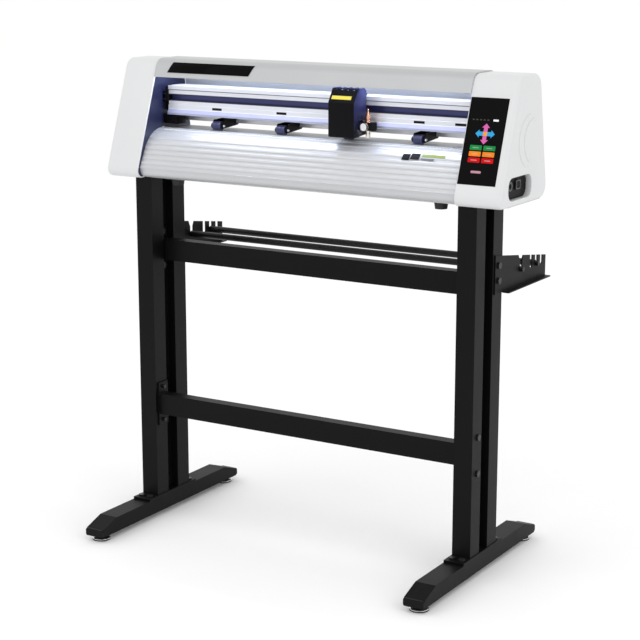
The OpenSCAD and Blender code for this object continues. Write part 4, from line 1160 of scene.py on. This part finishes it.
class CUTTER_OT_light_strip(bpy.types.Operator):
    """Hang the row of lamps under the top bar"""

    bl_idname = "cutter.light_strip"
    bl_label = "Hang the light strip"

    def execute(self, context):
        start, end = OPENING_LEFT + 8 * MM, OPENING_RIGHT - 8 * MM
        y = corner_centres()[1][0] - 4 * MM
        top = BODY_TOP - 1.3 * MM
        channel = block("lamp_channel", (start, y - 7 * MM, top - 6 * MM), (end, y + 7 * MM, top))
        lower = block("lower", (start - MM, y - 5.6 * MM, top - 7 * MM),
                      (end + MM, y + 5.6 * MM, top - 2 * MM))
        combine(channel, [lower])
        fit(rounded(channel, 0.3 * MM, 1), finish_of("platen_aluminium"))
        lamps, count = [], int((end - start) / shape().lamp_pitch)
        for k in range(count):
            x = start + (k + 0.5) * (end - start) / count
            lamps.append(turned("lamp", (x, y, top - 5.4 * MM), "Z", (
                (0, 0.9 * MM), (0.4 * MM, 1.9 * MM), (1.4 * MM, 2.5 * MM), (3.2 * MM, 2.5 * MM),
            ), 12))
        row = join("strip_lamps", lamps)
        fit(row, glowing("lamp_glow", colours().glow, 9.0), degrees=60)
        plug = block("lamp_plug", (start - 6 * MM, y - 6 * MM, top - 9 * MM),
                     (start + 12 * MM, y + 6 * MM, top - 1 * MM))
        fit(rounded(plug, 0.8 * MM), finish_of("black_plastic"))
        return {"FINISHED"}


class CUTTER_OT_screen_face(bpy.types.Operator):
    """Draw the touch screen's plain arrows, keys and status marks"""

    bl_idname = "cutter.screen_face"
    bl_label = "Draw the screen's keys"

    def execute(self, context):
        low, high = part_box("touch_screen")
        self.left = low.x
        self.foot, _, self.face = slope_span("touch_screen")
        self.arrows((high.x - low.x) / 2 + 1 * MM, 98.6 * MM)
        for name, up, colour in (
            ("green", 71.5 * MM, (0.008, 0.20, 0.045)), ("orange", 59.5 * MM, (0.70, 0.19, 0.012)),
            ("red", 47.5 * MM, (0.48, 0.004, 0.006)),
        ):
            self.key_row(name, up, colour)
        pill = round_rectangle(24 * MM, 45 * MM, 22.6 * MM, 27.2 * MM, 1.6 * MM, 3)
        self.plate("status_pill", pill, 0.0, (0.42, 0.22, 0.26))
        battery = round_rectangle(53 * MM, 64 * MM, 123.4 * MM, 127.0 * MM, 0.8 * MM, 3)
        self.plate("battery_mark", battery, 0.0, (0.8, 0.8, 0.82))
        marks = []
        for k in range(5):
            x = 10 * MM + k * 7.6 * MM
            mark = round_rectangle(x, x + 4.2 * MM, 124.0 * MM, 126.4 * MM, 0.6 * MM, 3)
            marks.append(self.raised("mark", mark, 0.0))
        self.light_up(join("status_marks", marks), "dim_mark_light", (0.05, 0.045, 0.035))
        return {"FINISHED"}

    def arrows(self, x, up):
        """Two crossed arrows with a square in their middle, at x and up on the screen."""
        reach, shaft, half = 20 * MM, 4 * MM, 4 * MM
        self.arrow("arrows_up_down", x, up, reach, shaft, 8 * MM, True, 0.0, (0.52, 0.10, 0.32))
        self.arrow("arrows_left_right", x, up, reach, shaft, 7.6 * MM, False, 0.05 * MM,
                   (0.03, 0.28, 0.55))
        square = ((x - half, up - half), (x + half, up - half), (x + half, up + half),
                  (x - half, up + half))
        self.plate("arrow_middle", square, 0.1 * MM, (0.75, 0.26, 0.03))

    def key_row(self, name, up, colour):
        """A row of two keys of one colour, with a paler plain bar on each."""
        keys, bars = [], []
        for x0, x1 in ((14 * MM, 38.5 * MM), (42 * MM, 66.5 * MM)):
            bar = round_rectangle(x0 + 6 * MM, x1 - 6 * MM, up - 0.9 * MM, up + 0.7 * MM, 0.5 * MM, 3)
            bars.append(self.raised("bar", bar, 0.25 * MM))
            key = round_rectangle(x0, x1, up - 4.7 * MM, up + 4.7 * MM, 1.2 * MM, 3)
            keys.append(self.raised(f"key_{name}", key, 0.0))
        self.light_up(join(f"keys_{name}", keys), f"{name}_key_light", colour)
        pale = tuple(0.45 * channel + 0.22 for channel in colour)
        self.light_up(join(f"key_bars_{name}", bars), f"{name}_bar_light", pale)

    def raised(self, name, outline, lift):
        """A thin raised plate from an outline on the screen."""
        spots = [(self.left + x, self.foot + u) for x, u in outline]
        return slope_plate(name, spots, self.face + 0.05 * MM + lift, 0.25 * MM, 0.2 * MM)

    def light_up(self, obj, name, colour):
        """Finishes a piece of the screen with a faint glow."""
        fit(obj, glowing(name, colour, 0.2), degrees=20)

    def plate(self, name, outline, lift, colour):
        """A lit plate on the screen."""
        self.light_up(self.raised(name, outline, lift), f"{name}_light", colour)

    def arrow(self, name, x, u, reach, shaft, head, upright, lift, colour):
        """A two-headed arrow."""
        neck = reach - head
        side = ((shaft, neck), (head, neck), (0, reach), (-head, neck), (-shaft, neck))
        outline = list(side) + [(-a, -b) for a, b in side]
        outline = [(x + a, u + b) if upright else (x + b, u - a) for a, b in outline]
        self.plate(name, outline, lift, colour)


class CUTTER_OT_platen_marks(bpy.types.Operator):
    """Lay thin dark strips of painted shadow where the slits along the cutting line are, and lay the
    plain decal
    """

    bl_idname = "cutter.platen_marks"
    bl_label = "Mark the platen"

    def execute(self, context):
        low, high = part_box("cutting_strip")
        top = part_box("front_platen")[1].z
        # each slit is a thin dark strip of painted shadow laid on the platen's top, not a cut
        slits, pitch = [], shape().slit_pitch
        count = int((high.x - low.x) / pitch)
        for k in range(count):
            x = low.x + (k + 0.5) * pitch
            slits.append(block("slit", (x - 2.2 * MM, low.y - 5.6 * MM, top - 0.2 * MM),
                               (x + 2.2 * MM, low.y - 4.4 * MM, top + 0.08 * MM)))
        fit(join("cutting_line_slit_shadows", slits), finish("slit_shadow", (0.03, 0.033, 0.06), 0.8))
        self.ribs()
        self.decal()
        return {"FINISHED"}

    def ribs(self):
        """Broad soft ribs along the platen's curved front."""
        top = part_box("front_platen")[1].z
        half, rise, strips = shape().rib_width / 2, shape().rib_rise, []
        for k in range(shape().rib_count):
            (y, z), turn = platen_spot(top - 7 * MM - k * shape().rib_pitch)
            outline = []
            for m in range(11):
                a = math.pi * m / 10
                along, out = half * math.cos(a), rise * math.sin(a) - 0.25 * MM
                outline.append((y + out * math.cos(turn) + along * math.sin(turn),
                                z + out * math.sin(turn) - along * math.cos(turn)))
            strips.append(along_x("rib", outline, OPENING_LEFT + MM, OPENING_RIGHT - MM))
        fit(join("platen_ribs", strips), finish_of("platen_aluminium"),
            degrees=60)

    def decal(self):
        """A plain pictogram of rounded blocks beside a pale green bar, on the curved front."""
        black, steps = (0.006, 0.006, 0.008), 6
        y0, _, radius = PLATEN_TOP_ARC
        z0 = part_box("front_platen")[1].z - radius
        proud, thickness = 1.75 * MM, 0.2 * MM
        for name, x0, x1, first, last, colour in (
            ("decal_block_left", 229 * MM, 245 * MM, 127, 139, black),
            ("decal_block_right", 247 * MM, 266 * MM, 125, 137, black),
            ("decal_bar", 270 * MM, 320 * MM, 125, 131, (0.28, 0.36, 0.10)),
            ("decal_line", 270 * MM, 298 * MM, 134, 137, (0.16, 0.17, 0.19)),
        ):
            sheets = []
            for lift in (proud - thickness, proud):
                sheet = []
                for k in range(steps + 1):
                    a = math.radians(first + (last - first) * k / steps)
                    y = y0 + (radius + lift) * math.cos(a)
                    z = z0 + (radius + lift) * math.sin(a)
                    sheet.append(((x0, y, z), (x1, y, z)))
                sheets.append(sheet)
            film = finish(f"{name}_film", colour, 0.5, grain=600, specular=0.1, dust=0.0)
            fit(slab(name, *sheets), film)


class CUTTER_OT_rail_marks(bpy.types.Operator):
    """Fix the black position marks, the end stop and the shaft's end guard at the rail"""

    bl_idname = "cutter.rail_marks"
    bl_label = "Fix the rail's marks"

    def execute(self, context):
        low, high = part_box("carriage_rail")
        z = belt_height() - 20 * MM
        half_w, half_h = shape().mark_width / 2, shape().mark_height / 2
        marks = []
        face = low.y + LIP_STEP
        for x in MARK_PLACES:
            mark = block("mark", (x - half_w, face - 0.16 * MM, z - half_h),
                         (x + half_w, face + 0.2 * MM, z + half_h))
            marks.append(rounded(mark, 0.08 * MM, 1))
        fit(join("rail_marks", marks), finish_of("black_plastic"))
        stop = block("rail_end_stop", (low.x - 7 * MM, face + 0.3 * MM, high.z - 34 * MM),
                     (low.x + 0.5 * MM, face + 12 * MM, high.z - 2 * MM))
        fit(rounded(stop, 1.2 * MM, 3), finish_of("black_plastic"))
        guard = along_x("shaft_end_guard", (
            (13 * MM, low.z - 20.5 * MM), (44 * MM, low.z - 20.5 * MM), (44 * MM, low.z - 1 * MM),
            (9.5 * MM, low.z - 1 * MM), (9.5 * MM, low.z - 14 * MM),
        ), OPENING_LEFT + 2.2 * MM, OPENING_LEFT + 36 * MM)
        fit(rounded(guard, 0.8 * MM), finish_of("arm_black"))
        return {"FINISHED"}


class CUTTER_OT_small_hardware(bpy.types.Operator):
    """Add the rims of the levelling pads and the rear cover's screws"""

    bl_idname = "cutter.small_hardware"
    bl_label = "Add the small hardware"

    def execute(self, context):
        for end in ("front_left", "front_right", "rear_left", "rear_right"):
            low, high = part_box(f"leveling_foot_{end}")
            x, y = (low.x + high.x) / 2, (low.y + high.y) / 2
            r = (high.x - low.x) / 2
            rim = turned(f"pad_rim_{end}", (x, y, low.z), "Z", (
                (2.9 * MM, r - 0.8 * MM), (3.0 * MM, r + 0.1 * MM), (3.5 * MM, r + 0.25 * MM),
                (4.1 * MM, r - 0.2 * MM), (4.6 * MM, r - 1.6 * MM), (5.6 * MM, r - 3 * MM),
            ), 48)
            fit(rim, finish_of("screw_steel"), f"leveler_{end}", degrees=60)
        self.rear_screws()
        return {"FINISHED"}

    def rear_screws(self):
        """Small round-headed screws along the rear cover."""
        low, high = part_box("rear_cover")
        z = high.z - 8 * MM
        y = rear_line(z) + 2 * MM
        screws = []
        for k in range(5):
            x = low.x + 20 * MM + k * (high.x - low.x - 40 * MM) / 4
            screws.append(turned("screw", (x, y, z), "Y", (
                (-0.6 * MM, 3.4 * MM), (0.5 * MM, 3.4 * MM), (1.2 * MM, 2.6 * MM),
                (1.6 * MM, 1.3 * MM), (1.0 * MM, 1.2 * MM), (1.0 * MM, 0.2 * MM),
            ), 24))
        fit(join("rear_cover_screws", screws), finish_of("black_bolt"),
            degrees=40)


class CUTTER_OT_studio(bpy.types.Operator):
    """Set up the plain floor, the soft lights and the camera"""

    bl_idname = "cutter.studio"
    bl_label = "Set up the studio"

    def execute(self, context):
        scene = context.scene
        studio = scene.cutter_studio
        self.floor(studio)
        world = bpy.data.worlds.new("soft_surround")
        world.use_nodes = True
        sky = world.node_tree.nodes["Background"]
        sky.inputs["Color"].default_value = (1.0, 1.0, 1.0, 1.0)
        sky.inputs["Strength"].default_value = studio.sky
        scene.world = world
        self.lamp("key_light", (-0.9, -2.4, 3.1), (0.0, 0.0, 0.7), 2.6, studio.key)
        self.lamp("fill_light", (3.0, -0.9, 1.9), (0.2, 0.0, 0.7), 2.0, studio.fill)
        self.strip(studio)
        camera = bpy.data.cameras.new("studio_camera")
        camera.lens = studio.lens
        camera.sensor_width = 36.0
        camera.clip_end = 200.0
        viewer = bpy.data.objects.new("studio_camera", camera)
        viewer.location = studio.place
        viewer.rotation_euler = (math.pi / 2 - studio.tilt, 0.0, studio.heading)
        scene.collection.objects.link(viewer)
        scene.camera = viewer
        scene.view_settings.view_transform = "Standard"
        return {"FINISHED"}

    def floor(self, studio):
        """A wide plain floor."""
        bm = bmesh.new()
        reach = 60.0
        corners = ((-reach, -reach), (reach, -reach), (reach, reach), (-reach, reach))
        bm.faces.new([bm.verts.new((x, y, 0.0)) for x, y in corners])
        obj = object_from("studio_floor", bm)
        obj.data.materials.append(
            finish("studio_paper", studio.floor, 0.85, spread=0.005, grain=300, bump=0.02,
                   rub=0.0, dust=0.0, specular=0.1)
        )

    def lamp(self, name, place, aim, width, power):
        """A square soft light."""
        light = bpy.data.lights.new(name, "AREA")
        light.size = width
        light.energy = power
        obj = bpy.data.objects.new(name, light)
        obj.location = place
        look = Vector(aim) - Vector(place)
        obj.rotation_euler = look.to_track_quat("-Z", "Y").to_euler()
        bpy.context.scene.collection.objects.link(obj)

    def strip(self, studio):
        """The long light that the row of lamps throws into the opening."""
        light = bpy.data.lights.new("opening_light", "AREA")
        light.shape = "RECTANGLE"
        light.size = OPENING_RIGHT - OPENING_LEFT - 40 * MM
        light.size_y = 10 * MM
        light.energy = studio.strip
        light.color = colours().glow
        obj = bpy.data.objects.new("opening_light", light)
        obj.location = ((OPENING_LEFT + OPENING_RIGHT) / 2, corner_centres()[1][0] - 4 * MM,
                        BODY_TOP - 10 * MM)
        obj.visible_camera = False
        bpy.context.scene.collection.objects.link(obj)


class CUTTER_PT_panel(bpy.types.Panel):
    """Buttons for every group of pieces"""

    bl_idname = "CUTTER_PT_panel"
    bl_label = "Vinyl Cutter"
    bl_space_type = "VIEW_3D"
    bl_region_type = "UI"
    bl_category = "Vinyl Cutter"

    def draw(self, context):
        column = self.layout.column(align=True)
        for operator in OPERATORS:
            column.operator(operator.bl_idname)
        for group in ("cutter_shape", "cutter_colours", "cutter_studio"):
            settings = getattr(context.scene, group)
            box = self.layout.box()
            for name in settings.bl_rna.properties.keys():
                if name not in ("rna_type", "name"):
                    box.prop(settings, name)


OPERATORS = (
    CUTTER_OT_paint_parts,
    CUTTER_OT_end_covers,
    CUTTER_OT_cover_relief,
    CUTTER_OT_top_badge,
    CUTTER_OT_carriage_hood,
    CUTTER_OT_blade_holder,
    CUTTER_OT_pinch_wheels,
    CUTTER_OT_sockets,
    CUTTER_OT_light_strip,
    CUTTER_OT_screen_face,
    CUTTER_OT_platen_marks,
    CUTTER_OT_rail_marks,
    CUTTER_OT_small_hardware,
    CUTTER_OT_studio,
)
SETTINGS = (
    ("cutter_shape", CutterShape),
    ("cutter_colours", CutterColours),
    ("cutter_studio", CutterStudio),
)


def register():
    """Registers the settings, the operators and the panel."""
    for name, group in SETTINGS:
        bpy.utils.register_class(group)
        setattr(bpy.types.Scene, name, bpy.props.PointerProperty(type=group))
    for cls in (*OPERATORS, CUTTER_PT_panel):
        bpy.utils.register_class(cls)


def unregister():
    """Takes them all out again."""
    for cls in (CUTTER_PT_panel, *reversed(OPERATORS)):
        bpy.utils.unregister_class(cls)
    for name, group in reversed(SETTINGS):
        delattr(bpy.types.Scene, name)
        bpy.utils.unregister_class(group)


def main():
    """Builds everything in order."""
    register()
    for operator in OPERATORS:
        family, name = operator.bl_idname.split(".")
        getattr(getattr(bpy.ops, family), name)()


if __name__ == "__main__":
    main()
